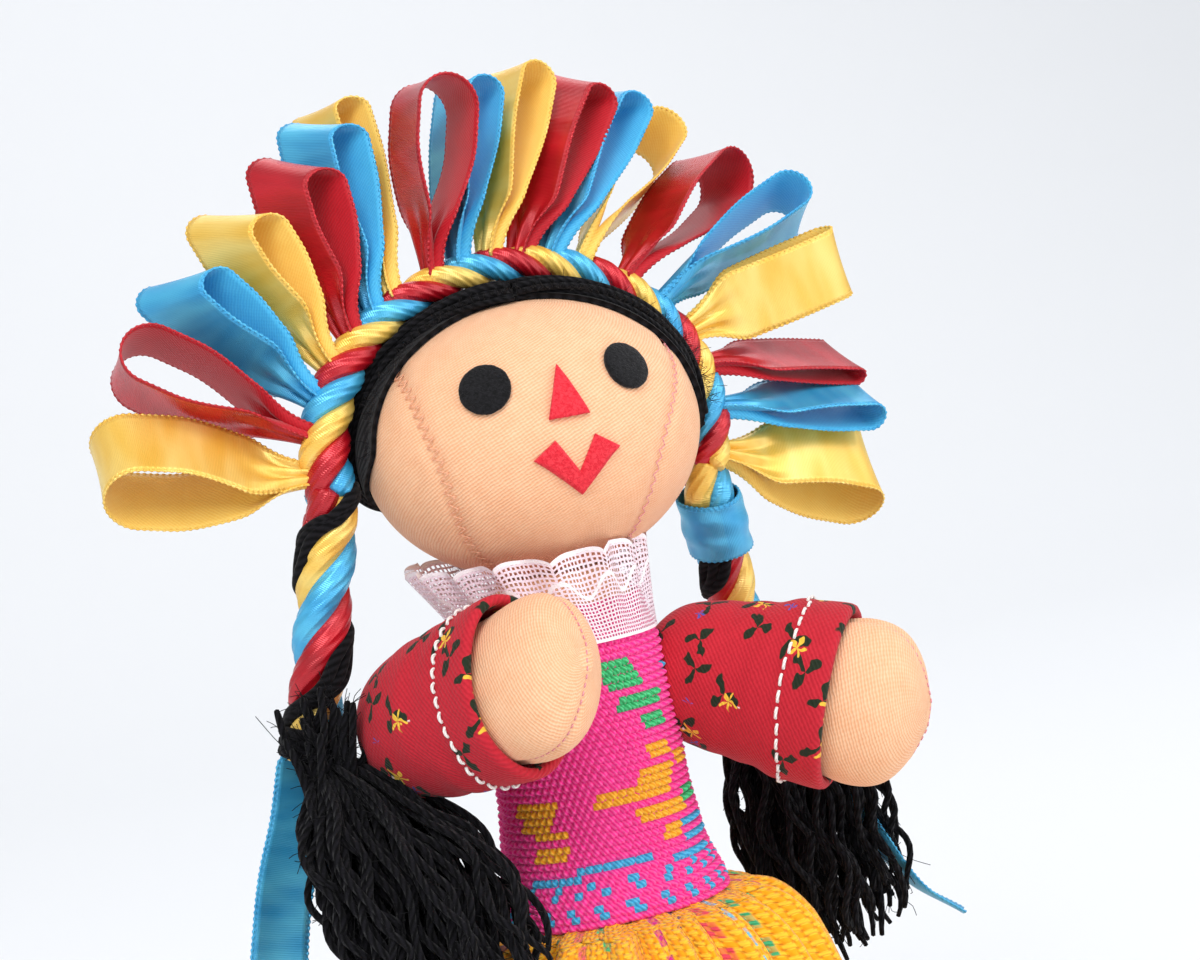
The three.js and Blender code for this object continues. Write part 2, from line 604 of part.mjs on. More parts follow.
// A flat ribbon along a path, with its own width and width direction at each point. A slant moves one edge
// forward and the other back by the given vector.
function band(path, widthways, widths, thickness, slants = null) {
  const rings = path.map((point, i) => {
    const before = path[Math.max(i - 1, 0)];
    const after = path[Math.min(i + 1, path.length - 1)];
    const along = after.clone().sub(before).normalize();
    const across = widthways[i].clone().addScaledVector(along, -along.dot(widthways[i])).normalize();
    const face = along.cross(across).multiplyScalar(thickness / 2);
    const side = across.multiplyScalar(widths[i] / 2);
    if (slants) side.add(slants[i]);
    return [[1, 1], [-1, 1], [-1, -1], [1, -1]].map(([s, f]) =>
      point.clone().addScaledVector(side, s).addScaledVector(face, f));
  });
  return skin(rings);
}

function loopGeometry([, root, heading, length, opening, lean, turn, slant]) {
  const start = crownPoint(root).addScaledVector(crownOutward(root), crownRadius(root) + GAP + 0.4);
  const [h, l, t, k] = [heading, lean, turn, slant].map(radians);
  const along = vector(-Math.cos(h) * Math.cos(l), Math.sin(l), Math.sin(h) * Math.cos(l));
  const inPlane = vector(Math.sin(h), 0, Math.cos(h));
  const toFront = along.clone().cross(inPlane).normalize();
  if (toFront.y > 0) toFront.negate();
  const across = inPlane.clone().multiplyScalar(Math.cos(t)).addScaledVector(toFront, Math.sin(t));
  const openWay = along.clone().cross(across).normalize();
  const steps = 22;
  const [path, widths, slants] = [[], [], []];
  for (let i = 0; i <= steps; i++) {
    const s = i / steps;
    const reach = Math.sin(Math.PI * s) ** 2;
    const spread = Math.sin(2 * Math.PI * s) * Math.sin(Math.PI * s) ** 1.2 * 0.66;
    const apart = 0.55 * Math.cos(Math.PI * s);
    path.push(start.clone().addScaledVector(along, length * reach).addScaledVector(openWay, opening * spread + apart));
    const width = RIBBON_PINCH + (RIBBON_WIDTH - RIBBON_PINCH) * smooth(reach, 0, 0.45);
    widths.push(width);
    slants.push(along.clone().multiplyScalar(Math.tan(k) * width / 2 * smooth(reach, 0.3, 1)));
  }
  return band(path, path.map(() => across), widths, RIBBON_THICKNESS, slants);
}

function headGroup() {
  const group = new THREE.Group();
  group.position.copy(HEAD_MIDDLE);
  group.quaternion.setFromRotationMatrix(headTurn);
  group.add(piece("head", "skin", ellipsoid(HEAD_HALF, 36, 22)));
  group.add(piece("hair_cap", "hair", hairGeometry()));
  group.add(...faceFeatures());
  group.add(piece("crown_braid", "yellow", crownGeometry()));
  LOOPS.forEach((row, i) => {
    group.add(piece(`ribbon_loop_${String(i + 1).padStart(2, "0")}`, row[0], loopGeometry(row)));
  });
  return group;
}

// Side braids: each hangs from the end of the crown, with a ribbon wrapped round its top, and ends in a tassel
const crownEnd = (degrees) => crownPoint(degrees).applyMatrix4(headPlace);
const EAR_RIGHT = crownEnd(-CROWN_END_RIGHT);
const EAR_LEFT = crownEnd(180 + CROWN_END_LEFT);
const BRAID_TOP = BRAID_RADIUS + GAP; // a braid's round top turns this far under the crown's end
const BRAID_RIGHT = [[-0.2, 0, -BRAID_TOP - 0.4], [-1.7, -0.2, -12], [-4.8, -0.5, -25], [-9, -1, -41]];
const BRAID_LEFT = [[-1, 2, -BRAID_TOP - 0.9], [0.5, 5, -14], [2.5, 9, -26], [3.5, 10, -39]];
const TIE_RADIUS = BRAID_RADIUS + GAP + BRAID_WRAP_THICKNESS;
const TAIL_OFF = TIE_RADIUS + GAP + RIBBON_THICKNESS / 2 + 0.1;
const TAIL_RIGHT = [[0.6, TAIL_OFF, 3], [-3, TAIL_OFF + 0.6, -10], [-8, TAIL_OFF, -22], [-13, TAIL_OFF - 1, -41]];
const TAIL_LEFT = [[TAIL_OFF, 0, 2], [11, 1, -14], [16.5, 2, -29], [23, 2, -42], [31, 2, -49]];
const TASSEL_RIGHT_LEAN = [7, -21];
const TASSEL_LEFT_LEAN = [9, 4];

// A round piece along points, solid with a round top, or hollow when it has a bore
function tube(points, outer, { bore = null, from = 0, to = 1, steps = 16, sides = 10 } = {}) {
  const curve = new THREE.CatmullRomCurve3(points);
  const ring = (t, radius, back = 0) => {
    const along = curve.getTangent(t);
    const middle = curve.getPoint(t).addScaledVector(along, -back);
    const across = vector(0, 1, 0).cross(along).normalize();
    const side = along.clone().cross(across);
    return Array.from({ length: sides }, (_, j) => {
      const turn = 2 * Math.PI * j / sides;
      return middle.clone()
        .addScaledVector(across, radius * Math.cos(turn))
        .addScaledVector(side, radius * Math.sin(turn));
    });
  };
  const places = Array.from({ length: steps + 1 }, (_, i) => from + (to - from) * i / steps);
  const outside = places.map((t) => ring(t, outer));
  if (bore !== null) return skin([...outside, ...places.map((t) => ring(t, bore)).reverse()], true);
  const top = [75, 50, 25].map(radians).map((a) => ring(0, outer * Math.cos(a), outer * Math.sin(a)));
  return skin([...top, ...outside]);
}

function tasselGeometry(top, length, radius, lean) {
  const shape = [[0, 0.3], [0.12, 0.4], [0.32, 0.62], [0.65, 0.9], [1, 1]];
  const rings = shape.map(([share, width]) => {
    const swung = share ** 1.3;
    const middle = [top.x + lean[0] * swung, top.y + lean[1] * swung];
    return levelRing(top.z - length * share, [radius * width, radius * width], 16, 2, middle);
  });
  return skin(rings);
}

function braidPieces(side, ear, route, [tasselLength, tasselRadius, lean], tailRoute, tailAcross) {
  const points = route.map(([x, y, z]) => ear.clone().add(vector(x, y, z)));
  const end = points.at(-1);
  const length = points.slice(1).reduce((sum, p, i) => sum + p.distanceTo(points[i]), 0);
  const bore = BRAID_RADIUS + GAP;
  const pieces = [piece(`braid_${side}`, "hair", tube(points, BRAID_RADIUS))];
  const tie = { bore, from: 1 - (TIE_LENGTH + 1) / length, to: 1 - 1 / length, steps: 2 };
  pieces.push(piece(`tassel_tie_${side}`, "hair", tube(points, TIE_RADIUS, tie)));
  if (side === "left") {
    const wrap = { bore, from: WRAP_START / length, to: (WRAP_START + BRAID_WRAP_LENGTH) / length, steps: 4 };
    pieces.push(piece("braid_wrap_left", "blue", tube(points, TIE_RADIUS, wrap)));
  }
  const top = end.clone().add(vector(0, 0, -GAP - 0.6));
  pieces.push(piece(`tassel_${side}`, "hair", tasselGeometry(top, tasselLength, tasselRadius, lean)));
  const tailCurve = new THREE.CatmullRomCurve3(tailRoute.map((offset) => end.clone().add(vector(...offset))));
  const tailPath = tailCurve.getPoints(10);
  const across = vector(...tailAcross);
  const tail = band(tailPath, tailPath.map(() => across), tailPath.map(() => TAIL_WIDTH), RIBBON_THICKNESS);
  pieces.push(piece(`ribbon_tail_${side}`, "blue", tail));
  return pieces;
}

const doll = new THREE.Group();
doll.add(piece("torso", "skin", torsoGeometry()));
doll.add(piece("bodice", "bodice", bodiceGeometry()));
doll.add(piece("collar_lace", "lace", collarGeometry()));
doll.add(piece("skirt", "skirt", skirtGeometry()));
doll.add(piece("skirt_binding", "binding", bindingGeometry()));
doll.add(headGroup());
doll.add(armGroup("right", SHOULDER_RIGHT, ARM_RIGHT_OUT, ARM_RIGHT_RISE, -1));
doll.add(armGroup("left", SHOULDER_LEFT, ARM_LEFT_OUT, ARM_LEFT_RISE, 1));
doll.add(legGroup("right", -1));
doll.add(legGroup("left", 1));
doll.add(...braidPieces("right", EAR_RIGHT, BRAID_RIGHT, [TASSEL_RIGHT_LENGTH, TASSEL_RIGHT_RADIUS, TASSEL_RIGHT_LEAN], TAIL_RIGHT, [1, 0.3, 0]));
doll.add(...braidPieces("left", EAR_LEFT, BRAID_LEFT, [TASSEL_LEFT_LENGTH, TASSEL_LEFT_RADIUS, TASSEL_LEFT_LEAN], TAIL_LEFT, [0, 1, 0]));

// The origin goes under the middle of the whole doll
doll.updateMatrixWorld(true);
const middle = new THREE.Box3().setFromObject(doll, true).getCenter(vector(0, 0, 0));
doll.position.set(-middle.x, -middle.y, 0);

export default doll;
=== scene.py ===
# %% [markdown]
# A cloth doll with a crown of ribbon loops, dressed over the bare solids that hold its sizes.
# Every piece of the real doll is cloth, felt, ribbon or yarn, so every piece here is a mesh made in code:
# sheets for cloth and ribbon, tubes for yarn and plaits, and stuffed forms for the body.
# The bare solids come first, because all places and sizes are taken from them.

# %% The frame
import math

import bmesh
import bpy
import numpy as np
from mathutils import Matrix, Vector


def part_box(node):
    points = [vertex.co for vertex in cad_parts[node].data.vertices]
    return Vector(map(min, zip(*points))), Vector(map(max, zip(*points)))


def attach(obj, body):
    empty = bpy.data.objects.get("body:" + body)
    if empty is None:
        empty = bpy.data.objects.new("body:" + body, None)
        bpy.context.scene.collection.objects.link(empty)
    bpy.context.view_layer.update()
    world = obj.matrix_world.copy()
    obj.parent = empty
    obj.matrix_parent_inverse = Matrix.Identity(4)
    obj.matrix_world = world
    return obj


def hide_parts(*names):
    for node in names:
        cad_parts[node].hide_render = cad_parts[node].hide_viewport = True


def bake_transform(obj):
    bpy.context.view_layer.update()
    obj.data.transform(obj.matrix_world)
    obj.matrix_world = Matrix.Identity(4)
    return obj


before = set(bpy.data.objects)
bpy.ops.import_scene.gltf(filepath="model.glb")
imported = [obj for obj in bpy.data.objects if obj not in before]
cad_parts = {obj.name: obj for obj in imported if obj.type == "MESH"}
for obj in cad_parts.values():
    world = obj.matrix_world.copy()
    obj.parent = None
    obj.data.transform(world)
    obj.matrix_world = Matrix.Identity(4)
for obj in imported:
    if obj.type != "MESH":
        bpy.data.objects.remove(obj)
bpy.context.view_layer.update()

# %% [markdown]
# The doll is described in millimetres about its own middle, with the face looking along minus Y.
# The head's solid says where that middle lies, so one number carries every shape into its place in metres.

# %% Units and small sums
MM = 0.001
TURN = 2 * math.pi
head_low, head_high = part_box("head")
DOLL_X = (head_low.x + head_high.x) / 2 / MM
print(f"the doll's middle lies at x = {DOLL_X:.2f} mm")


def vec(*values):
    return np.array(values, float)


UPRIGHT = vec(0, 0, 1)


def unit(v):
    return v / np.maximum(np.linalg.norm(v, axis=-1, keepdims=True), 1e-9)


def from_axis(points):
    """The direction away from the Z axis at each point"""
    return unit(points * vec(1, 1, 0))


def smooth(x, low, high):
    t = np.clip((np.asarray(x, float) - low) / (high - low), 0, 1)
    return t * t * (3 - 2 * t)


def turned(v, axis, degrees):
    """v turned about a unit axis"""
    a = math.radians(degrees)
    along = np.dot(v, axis)[..., None] * axis
    return along + (v - along) * math.cos(a) + np.cross(axis, v) * math.sin(a)


def round_turn(count):
    """Even angles once round, in radians"""
    return np.linspace(0, TURN, count, endpoint=False)


def angle_from(turn, middle):
    """How far each angle is from a middle one, the shorter way round"""
    return np.abs((turn - middle + math.pi) % TURN - math.pi)


def distances(path):
    """How far along a line each of its points lies"""
    return np.concatenate([[0], np.cumsum(np.linalg.norm(np.diff(path, axis=0), axis=1))])


def length_of(path):
    return float(np.linalg.norm(np.diff(path, axis=0), axis=1).sum())


def between(want, at, points):
    """The points of a line at the wanted distances, from the points at given ones"""
    return np.stack([np.interp(want, at, column) for column in np.transpose(points)], axis=1)


def even_steps(path, count):
    """The same line with points at even distances"""
    at = distances(path)
    return between(np.linspace(0, at[-1], count), at, path)


def curve_through(points, count):
    """Even steps on a smooth curve through a few chosen points"""
    p = np.array(points, float)
    p = np.vstack([2 * p[0] - p[1], p, 2 * p[-1] - p[-2]])
    steps = np.linspace(0, len(p) - 3, 12 * len(p) + 1)
    i = np.minimum(steps.astype(int), len(p) - 4)
    t = (steps - i)[:, None]
    a, b, c, d = p[i], p[i + 1], p[i + 2], p[i + 3]
    fine = 0.5 * (2 * b + (c - a) * t + (2 * a - 5 * b + 4 * c - d) * t**2 + (3 * b - a - 3 * c + d) * t**3)
    return even_steps(fine, count)


# %% [markdown]
# A piece is gathered as rows of points before it becomes a mesh.
# Three builders make nearly everything: a grid of quads, a closed form, which is a grid with a tip at each
# end, and a thin sheet, which is a grid with a front, a back and edges, as real cloth has. They also note
# where each point lies on the flat cloth, in millimetres, so that weaves and prints keep their true scale
# whatever the shape does.

# %% Building meshes from grids
class Shape:
    """Points and faces of one piece, in millimetres, with each face's cloth coordinates and material slot"""

    def __init__(self):
        self.points, self.faces, self.uvs, self.slots = [], [], [], []
        self.count = 0

    def add(self, points):
        flat = np.asarray(points, float).reshape(-1, 3)
        index = np.arange(self.count, self.count + len(flat)).reshape(np.shape(points)[:-1])
        self.points.append(flat)
        self.count += len(flat)
        return index

    def quads(self, index, uv, slot=0, flip=False):
        corners = [index[:-1, :-1], index[:-1, 1:], index[1:, 1:], index[1:, :-1]]
        places = [uv[:-1, :-1], uv[:-1, 1:], uv[1:, 1:], uv[1:, :-1]]
        if flip:
            corners, places = corners[::-1], places[::-1]
        self.faces.append(np.stack([c.ravel() for c in corners], axis=1))
        self.uvs.append(np.stack([p.reshape(-1, 2) for p in places], axis=1))
        self.slots.append(np.broadcast_to(slot, corners[0].shape).ravel())

    def bridge(self, one, other, place, slot=0, flip=False):
        """Quads between two rows of points"""
        self.quads(np.vstack([one, other]), np.vstack([place, place]), slot, flip)

    def rims(self, front, back, uv, wrap, slot=0):
        """The edges between the front and the back of a sheet"""
        self.bridge(front[:1], back[:1], uv[:1], slot, True)
        self.bridge(front[-1:], back[-1:], uv[-1:], slot)
        if not wrap:
            self.bridge(front[:, :1].T, back[:, :1].T, uv[:, 0][None], slot)
            self.bridge(front[:, -1:].T, back[:, -1:].T, uv[:, -1][None], slot, True)

    def fan(self, index, uv, row, tip, tip_uv=None, slot=0, flip=None):
        """Triangles from the first or the last row of a wrapped grid to a tip"""
        ring, place = index[row, :-1], uv[row, :-1]
        tip_uv = uv[row].mean(axis=0) if tip_uv is None else tip_uv
        middle = self.add(np.asarray(tip, float).reshape(1, 3))[0]
        face = np.stack([ring, np.roll(ring, -1), np.full(len(ring), middle)], axis=1)
        places = np.stack([place, np.roll(place, -1, axis=0), np.broadcast_to(tip_uv, place.shape)], axis=1)
        if flip or (flip is None and row == 0):
            face, places = face[:, ::-1], places[:, ::-1]
        self.faces.append(face)
        self.uvs.append(places)
        self.slots.append(np.full(len(ring), slot))


def closed(rows, wrap=True):
    """A grid with its first column repeated at the end where it wraps round"""
    return np.concatenate([rows, rows[:, :1]], axis=1) if wrap else rows


def closed_ring(ring):
    return np.vstack([ring, ring[:1]])


def flat_places(grid, wrap=False):
    """Cloth coordinates of a grid: mean distances along its columns and its rows"""
    full = closed(grid, wrap)
    across, down = (np.linalg.norm(np.diff(full, axis=way), axis=2).mean(axis=1 - way) for way in (1, 0))
    u, v = (np.concatenate([[0], np.cumsum(steps)]) for steps in (across, down))
    return np.stack(np.meshgrid(u, v), axis=2)


def grid_normals(grid, wrap=False):
    side = np.roll(grid, -1, axis=1) - np.roll(grid, 1, axis=1) if wrap else np.gradient(grid, axis=1)
    return unit(np.cross(side, np.gradient(grid, axis=0)))


def add_grid(shape, grid, uv=None, wrap=False, slot=0, flip=False):
    uv = flat_places(grid, wrap) if uv is None else uv
    index = closed(shape.add(grid), wrap)
    shape.quads(index, uv, slot, flip)
    return index, uv


def add_form(shape, grid, tips, uv=None, tip_uv=None, slot=0):
    """A closed form: rings, and a fan to a tip at each end"""
    index, uv = add_grid(shape, grid, uv, True, slot)
    for row, tip in zip((0, -1), tips):
        shape.fan(index, uv, row, tip, tip_uv, slot)


def add_sheet(shape, grid, thickness, uv=None, wrap=False, slots=(0, 0)):
    """Cloth with a front, a back and closed edges round the given middle surface"""
    normal = grid_normals(grid, wrap) * thickness / 2
    front, uv = add_grid(shape, grid + normal, uv, wrap, slots[0])
    back, _ = add_grid(shape, grid - normal, uv, wrap, slots[1], True)
    shape.rims(front, back, uv, wrap, slots[0])


# %% [markdown]
# Yarn, thread and plaited ribbon are tubes. A tube carries its own frame along the line, turned as little
# as possible from ring to ring, or led by a given direction where its section isn't round. Much of the
# yarn winds round another line, so one helper gives the direction that turns about it.

# %% Building tubes
def frames_along(path, lead=None):
    """Tangent, side and lift directions at each point of a line"""
    tangent = unit(np.gradient(path, axis=0))
    side = np.empty_like(tangent)
    if lead is not None:
        side[:] = unit(np.cross(tangent, lead))
    else:
        start = UPRIGHT if abs(tangent[0, 2]) < 0.9 else vec(1, 0, 0)
        side[0] = unit(np.cross(tangent[0], start))
        for i in range(1, len(path)):
            side[i] = unit(side[i - 1] - tangent[i] * np.dot(side[i - 1], tangent[i]))
    return tangent, side, np.cross(side, tangent)


def winding(path, spin):
    """The direction at each point of a line that is turned about it by the spin there"""
    _, side, lift = frames_along(path)
    return side * np.cos(spin)[:, None] + lift * np.sin(spin)[:, None]


def rings_along(path, side, lift, across, up, radius):
    """Rings of points round a line"""
    return path[:, None] + (side[:, None] * across[..., None] + lift[:, None] * up[..., None]) * radius


def add_tube(shape, path, radius, sides, slot=0, section=None, lead=None):
    """A tube with round or shaped section; section gives (across, lift) factors for each angle"""
    tangent, side, lift = frames_along(path, lead)
    turn = round_turn(sides)
    across, up = (np.cos(turn), np.sin(turn)) if section is None else section(turn)
    radius = np.broadcast_to(np.asarray(radius, float), (len(path),))
    grid = rings_along(path, side, lift, across, up, radius[:, None, None])
    round_it = np.linspace(0, TURN * float(radius.mean()), sides + 1)
    uv = np.stack(np.meshgrid(round_it, distances(path)), axis=2)[..., ::-1]
    tips = [path[row] + tangent[row] * sign * 0.5 * float(radius[row]) for row, sign in ((0, -1), (-1, 1))]
    add_form(shape, grid, tips, uv, slot=slot)


# %% [markdown]
# Turning a shape into a piece does the same four things each time: the mesh with its cloth coordinates,
# the materials, the body it moves with, and the bare solids that it stands for.

# %% From shape to piece
def new_object(name, data):
    made = bpy.data.objects.new(name, data)
    bpy.context.scene.collection.objects.link(made)
    return made


def faces_out(mesh):
    work = bmesh.new()
    work.from_mesh(mesh)
    bmesh.ops.recalc_face_normals(work, faces=work.faces)
    work.to_mesh(mesh)
    work.free()


def make_piece(name, shape, materials, body, replaces=(), recalc=True):
    points = (np.vstack(shape.points) + vec(DOLL_X, 0, 0)) * MM
    faces = [f for block in shape.faces for f in block.tolist()]
    mesh = bpy.data.meshes.new(name)
    mesh.from_pydata(points.tolist(), [], faces)
    corners = np.concatenate([block.reshape(-1, 2) for block in shape.uvs])
    mesh.uv_layers.new(name="cloth").data.foreach_set("uv", corners.astype(np.float32).ravel())
    mesh.polygons.foreach_set("material_index", np.concatenate(shape.slots).astype(np.int32))
    mesh.polygons.foreach_set("use_smooth", np.full(len(faces), True))
    for material in materials:
        mesh.materials.append(material)
    mesh.update()
    piece = new_object(name, mesh)
    if recalc:
        faces_out(mesh)
    if body is not None:
        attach(piece, body)
    if replaces:
        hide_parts(*replaces)
    low, high = points.min(axis=0) / MM, points.max(axis=0) / MM
    print(f"{name}: {len(faces)} faces, {np.round(low, 1)} to {np.round(high, 1)} mm")
    return piece


# %% [markdown]
# Colours are written as they look on the real doll and turned into the light values that the shader uses.
# The output of a node is held as a value, and sums with values add math nodes, so that a weave reads as
# the formula that it is.

# %% Helpers for materials
def colour(code):
    """A colour as the eye sees it, such as F2CB66, in the shader's linear values"""
    parts = [int(code[i:i + 2], 16) / 255 for i in (0, 2, 4)]
    return [p / 12.92 if p <= 0.04045 else ((p + 0.055) / 1.055) ** 2.4 for p in parts] + [1]


class Value:
    """The output of a node; sums with it make math nodes in the same tree"""

    def __init__(self, tree, socket):
        self.tree, self.socket = tree, socket

    def do(self, operation, *others):
        return node(self.tree, "Math", dict(enumerate((self, *others))), operation=operation)[0]

    def __add__(self, other):
        return self.do("ADD", other)

    def __sub__(self, other):
        return self.do("SUBTRACT", other)

    def __mul__(self, other):
        return self.do("MULTIPLY", other)

    def __truediv__(self, other):
        return self.do("DIVIDE", other)

    def __abs__(self):
        return self.do("ABSOLUTE")


def set_input(tree, socket, given):
    """Puts a value, a colour's code or a constant into a socket"""
    if isinstance(given, Value):
        tree.links.new(given.socket, socket)
    else:
        socket.default_value = colour(given) if isinstance(given, str) else given


def node(tree, kind, inputs, **settings):
    """The outputs of a new node, made with its settings and inputs"""
    made = tree.nodes.new(f"ShaderNode{kind}")
    for key, setting in settings.items():
        setattr(made, key, setting)
    for key, given in inputs.items():
        set_input(tree, made.inputs[key], given)
    return [Value(tree, socket) for socket in made.outputs]


def sine(value):
    return value.do("SINE")


def vector(operation, a, b=(0, 0, 0), scale=1.0):
    return node(a.tree, "VectorMath", {0: a, 1: b, 3: scale}, operation=operation)


def split(place):
    """The x and y of a place"""
    return node(place.tree, "SeparateXYZ", {0: place})[:2]


def noise(place, scale, detail, distortion=0.0):
    facts = {"Vector": place, "Scale": scale, "Detail": detail, "Distortion": distortion}
    return node(place.tree, "TexNoise", facts)


def mixed(factor, a, b):
    return node(factor.tree, "Mix", {0: factor, 6: a, 7: b}, data_type="RGBA")[2]


def soft_step(value, low, high):
    return node(value.tree, "MapRange", {0: value, 1: low, 2: high}, interpolation_type="SMOOTHSTEP")[0]


def make_group(name, inputs, build):
    """A node group with named sockets; an input without a number is a place on the cloth"""
    group = bpy.data.node_groups.new(name, "ShaderNodeTree")
    for label, number in inputs.items():
        kind = "Vector" if number is None else "Float"
        socket = group.interface.new_socket(label, in_out="INPUT", socket_type=f"NodeSocket{kind}")
        if number is not None:
            socket.default_value = number
    sockets = group.nodes.new("NodeGroupInput").outputs
    results = build(group, *(Value(group, sockets[label]) for label in inputs))
    for label in results:
        group.interface.new_socket(label, in_out="OUTPUT", socket_type="NodeSocketFloat")
    out = group.nodes.new("NodeGroupOutput").inputs
    for label, result in results.items():
        set_input(group, out[label], result)
    return group


def use_group(tree, group, inputs):
    return {result.socket.name: result for result in node(tree, "Group", inputs, node_tree=group)}


def new_material(name):
    """A material, its tree, its shader and the place on the flat cloth, in millimetres"""
    material = bpy.data.materials.new(name)
    material.use_nodes = True
    tree = material.node_tree
    return material, tree, tree.nodes["Principled BSDF"], node(tree, "UVMap", {}, uv_map="cloth")[0]


def dress(tree, shader, tint, height, lift, rough, specular, sheen):
    """Gives a shader its colour, its relief, with the lift in millimetres, and its constants"""
    bump = node(tree, "Bump", {"Height": height, "Distance": lift * MM})[0]
    facts = {"Base Color": tint, "Normal": bump, "Roughness": rough, "Specular IOR Level": specular,
             "Sheen Weight": sheen}
    for key, given in facts.items():
        set_input(tree, shader.inputs[key], given)


# %% [markdown]
# Twill is cloth whose threads step sideways from row to row, which leaves fine slanted ribs.
# The face, the limbs, the printed sleeves and the back of the satin ribbon all show it at their own scale,
# so it is one group. It could be modelled thread by thread, but the ribs are under half a millimetre apart
# and a height for the bump is enough.

# %% Node group: twill
def twill(tree, place, pitch, slant, wear):
    x, y = split(node(tree, "VectorRotate", {"Vector": place, "Angle": slant}, rotation_type="Z_AXIS")[0])
    wander = noise(place, 0.9, 2)[0] * 0.5 + x
    weave = sine(y * 5.1 / pitch) * 0.3 + sine(wander * TURN / pitch)
    patches = (noise(place, 0.35, 4)[0] - 0.5) * wear
    # the shade lightens the ribs and darkens the grooves, which is painted light and shade; the patches are
    # wear at random
    return {"Height": weave * 0.35 + 0.5, "Shade": weave * 0.16 + 0.5 + patches}


TWILL = make_group("twill", {"Place": None, "Pitch": 0.5, "Slant": 1.1, "Wear": 0.3}, twill)

# %% [markdown]
# Felt is a mat of short fibres. A fine noise gives the lie of the fibres and a broader one the thick and
# thin places, for the features of the face and for the slippers.

# %% Node group: fibres
def fibres(tree, place, scale):
    fine = noise(place, scale, 6, 1.2)[0]
    return {"Height": noise(place, 0.5, 2)[0] * 0.4 + fine, "Shade": soft_step(fine, 0.35, 0.68)}


FIBRES = make_group("fibres", {"Place": None, "Scale": 2.0}, fibres)

# %% [markdown]
# Satin ribbon has long floating threads across it that catch the light in one broad band, a firm woven
# border at each edge and faint creases. The group gives a fine rib across the ribbon, slow creases along
# it, a painted highlight that follows the creases in pale bands across the ribbon, and a mask for the two
# borders.

# %% Node group: satin ribbon
def satin(tree, place, width, rib):
    x, y = split(place)
    crease_sheen_bands = noise(node(tree, "CombineXYZ", {0: x, 1: y * 0.3})[0], 0.22, 1.5)[0]
    border = soft_step(abs(y / width - 0.5), 0.44, 0.47)
    ribs = sine(x * TURN / rib) * 0.05 + crease_sheen_bands * 1.1
    # the shade is a painted highlight: where the creases rise, pale bands cross the ribbon
    return {"Height": border * sine(x * 7) * 0.18 + ribs, "Shade": soft_step(crease_sheen_bands, 0.2, 0.8),
            "Border": border}


SATIN = make_group("satin ribbon", {"Place": None, "Width": 12.0, "Rib": 0.28}, satin)

# %% [markdown]
# Hand-woven cloth and yarn are made of thick threads that can be counted. The yarn group draws plies that
# wind round a strand, with their tops painted lighter and their grooves darker as light and shade. The weave
# group draws threads that pass over and under each other, says which of the two sets lies on top, and gives
# a painted shade for the gaps between them.

# %% Node groups: plied yarn and coarse weave
def plied_yarn(tree, place, lay, girth, plies):
    x, y = split(place)
    height = sine((y * plies / girth + x / lay) * TURN) * 0.42 + 0.5 + noise(place, 2.2, 5)[0] * 0.7
    # the shade follows the height: ply tops painted lighter, grooves painted darker
    return {"Height": height, "Shade": soft_step(height, 0.3, 1.3)}


def coarse_weave(tree, place, warp, weft):
    shift = vector("SUBTRACT", noise(place, 0.6, 2)[1], (0.5, 0.5, 0.5))[0]
    x, y = split(vector("ADD", place, vector("SCALE", shift, scale=0.7)[0])[0])
    warp_wave, weft_wave = sine(x / warp * math.pi), sine(y / weft * math.pi)
    over = warp_wave * weft_wave
    height = (over * -0.35 + abs(warp_wave)).do("MAXIMUM", over * 0.35 + abs(weft_wave))
    # the gaps are where the threads lie low; they carry a painted shade
    return {"Height": height, "Weft on top": soft_step(over, -0.12, 0.12),
            "Painted gap shade": soft_step(height, 0.75, 0.35)}


YARN = make_group("plied yarn", {"Place": None, "Lay": 2.4, "Girth": 5.3, "Plies": 4.0}, plied_yarn)
WEAVE = make_group("coarse weave", {"Place": None, "Warp": 1.0, "Weft": 1.0}, coarse_weave)

# %% [markdown]
# The skin is peach cotton twill. It is dull, with a painted lighter tone on the ribs and a warmer painted
# shade between them.
# A trace of sheen stands for the down of fine hairs that cotton has. Felt and yarn are duller still.

# %% Materials: twill, felt and yarn
def cloth_material(name, shades, group, inputs, lift, rough, specular, sheen):
    """Cloth of two shades that its weave mixes; the weave also lifts the surface"""
    material, tree, shader, place = new_material(name)
    woven = use_group(tree, group, {"Place": place, **inputs})
    dress(tree, shader, mixed(woven["Shade"], *shades), woven["Height"], lift, rough, specular, sheen)
    return material


def twill_material(name, shades, pitch, slant, lift=0.09, rough=0.85):
    return cloth_material(name, shades, TWILL, {"Pitch": pitch, "Slant": slant}, lift, rough, 0.25, 0.15)


def felt_material(name, shades):
    return cloth_material(name, shades, FIBRES, {}, 0.2, 0.95, 0.15, 0.15)


def yarn_material(name, shades, lay, girth, plies=2.0, lift=0.05, sheen=0.12, rough=1.0, specular=0.1):
    inputs = {"Lay": lay, "Girth": girth, "Plies": plies}
    return cloth_material(name, shades, YARN, inputs, lift, rough, specular, sheen)


# the darker, warmer shade is painted shade in the grooves of the twill
SKIN = twill_material("skin_cloth", ("E28E5A", "FEDAB4"), 0.5, 1.15)
FELT_BLACK = felt_material("felt_black", ("0C0C0D", "1E1D20"))
FELT_RED = felt_material("felt_red", ("D42232", "EC3E4A"))
HAIR = yarn_material("hair_yarn", ("060607", "1A191C"), 1.6, 3.3, 2.0, 0.12, 0.06)
TASSEL_YARN = yarn_material("tassel_yarn", ("050506", "17161A"), 2.2, 4.4, 3.0, 0.3, 0.05)
SEAM_THREAD = yarn_material("seam_thread", ("E39A74", "F5C0A0"), 0.8, 0.8)
PINK_THREAD = yarn_material("pink_thread", ("D9808A", "F0A8AE"), 0.8, 0.8)
WHITE_THREAD = yarn_material("white_thread", ("D8D2CC", "FBF8F4"), 1.0, 1.2, lift=0.06)
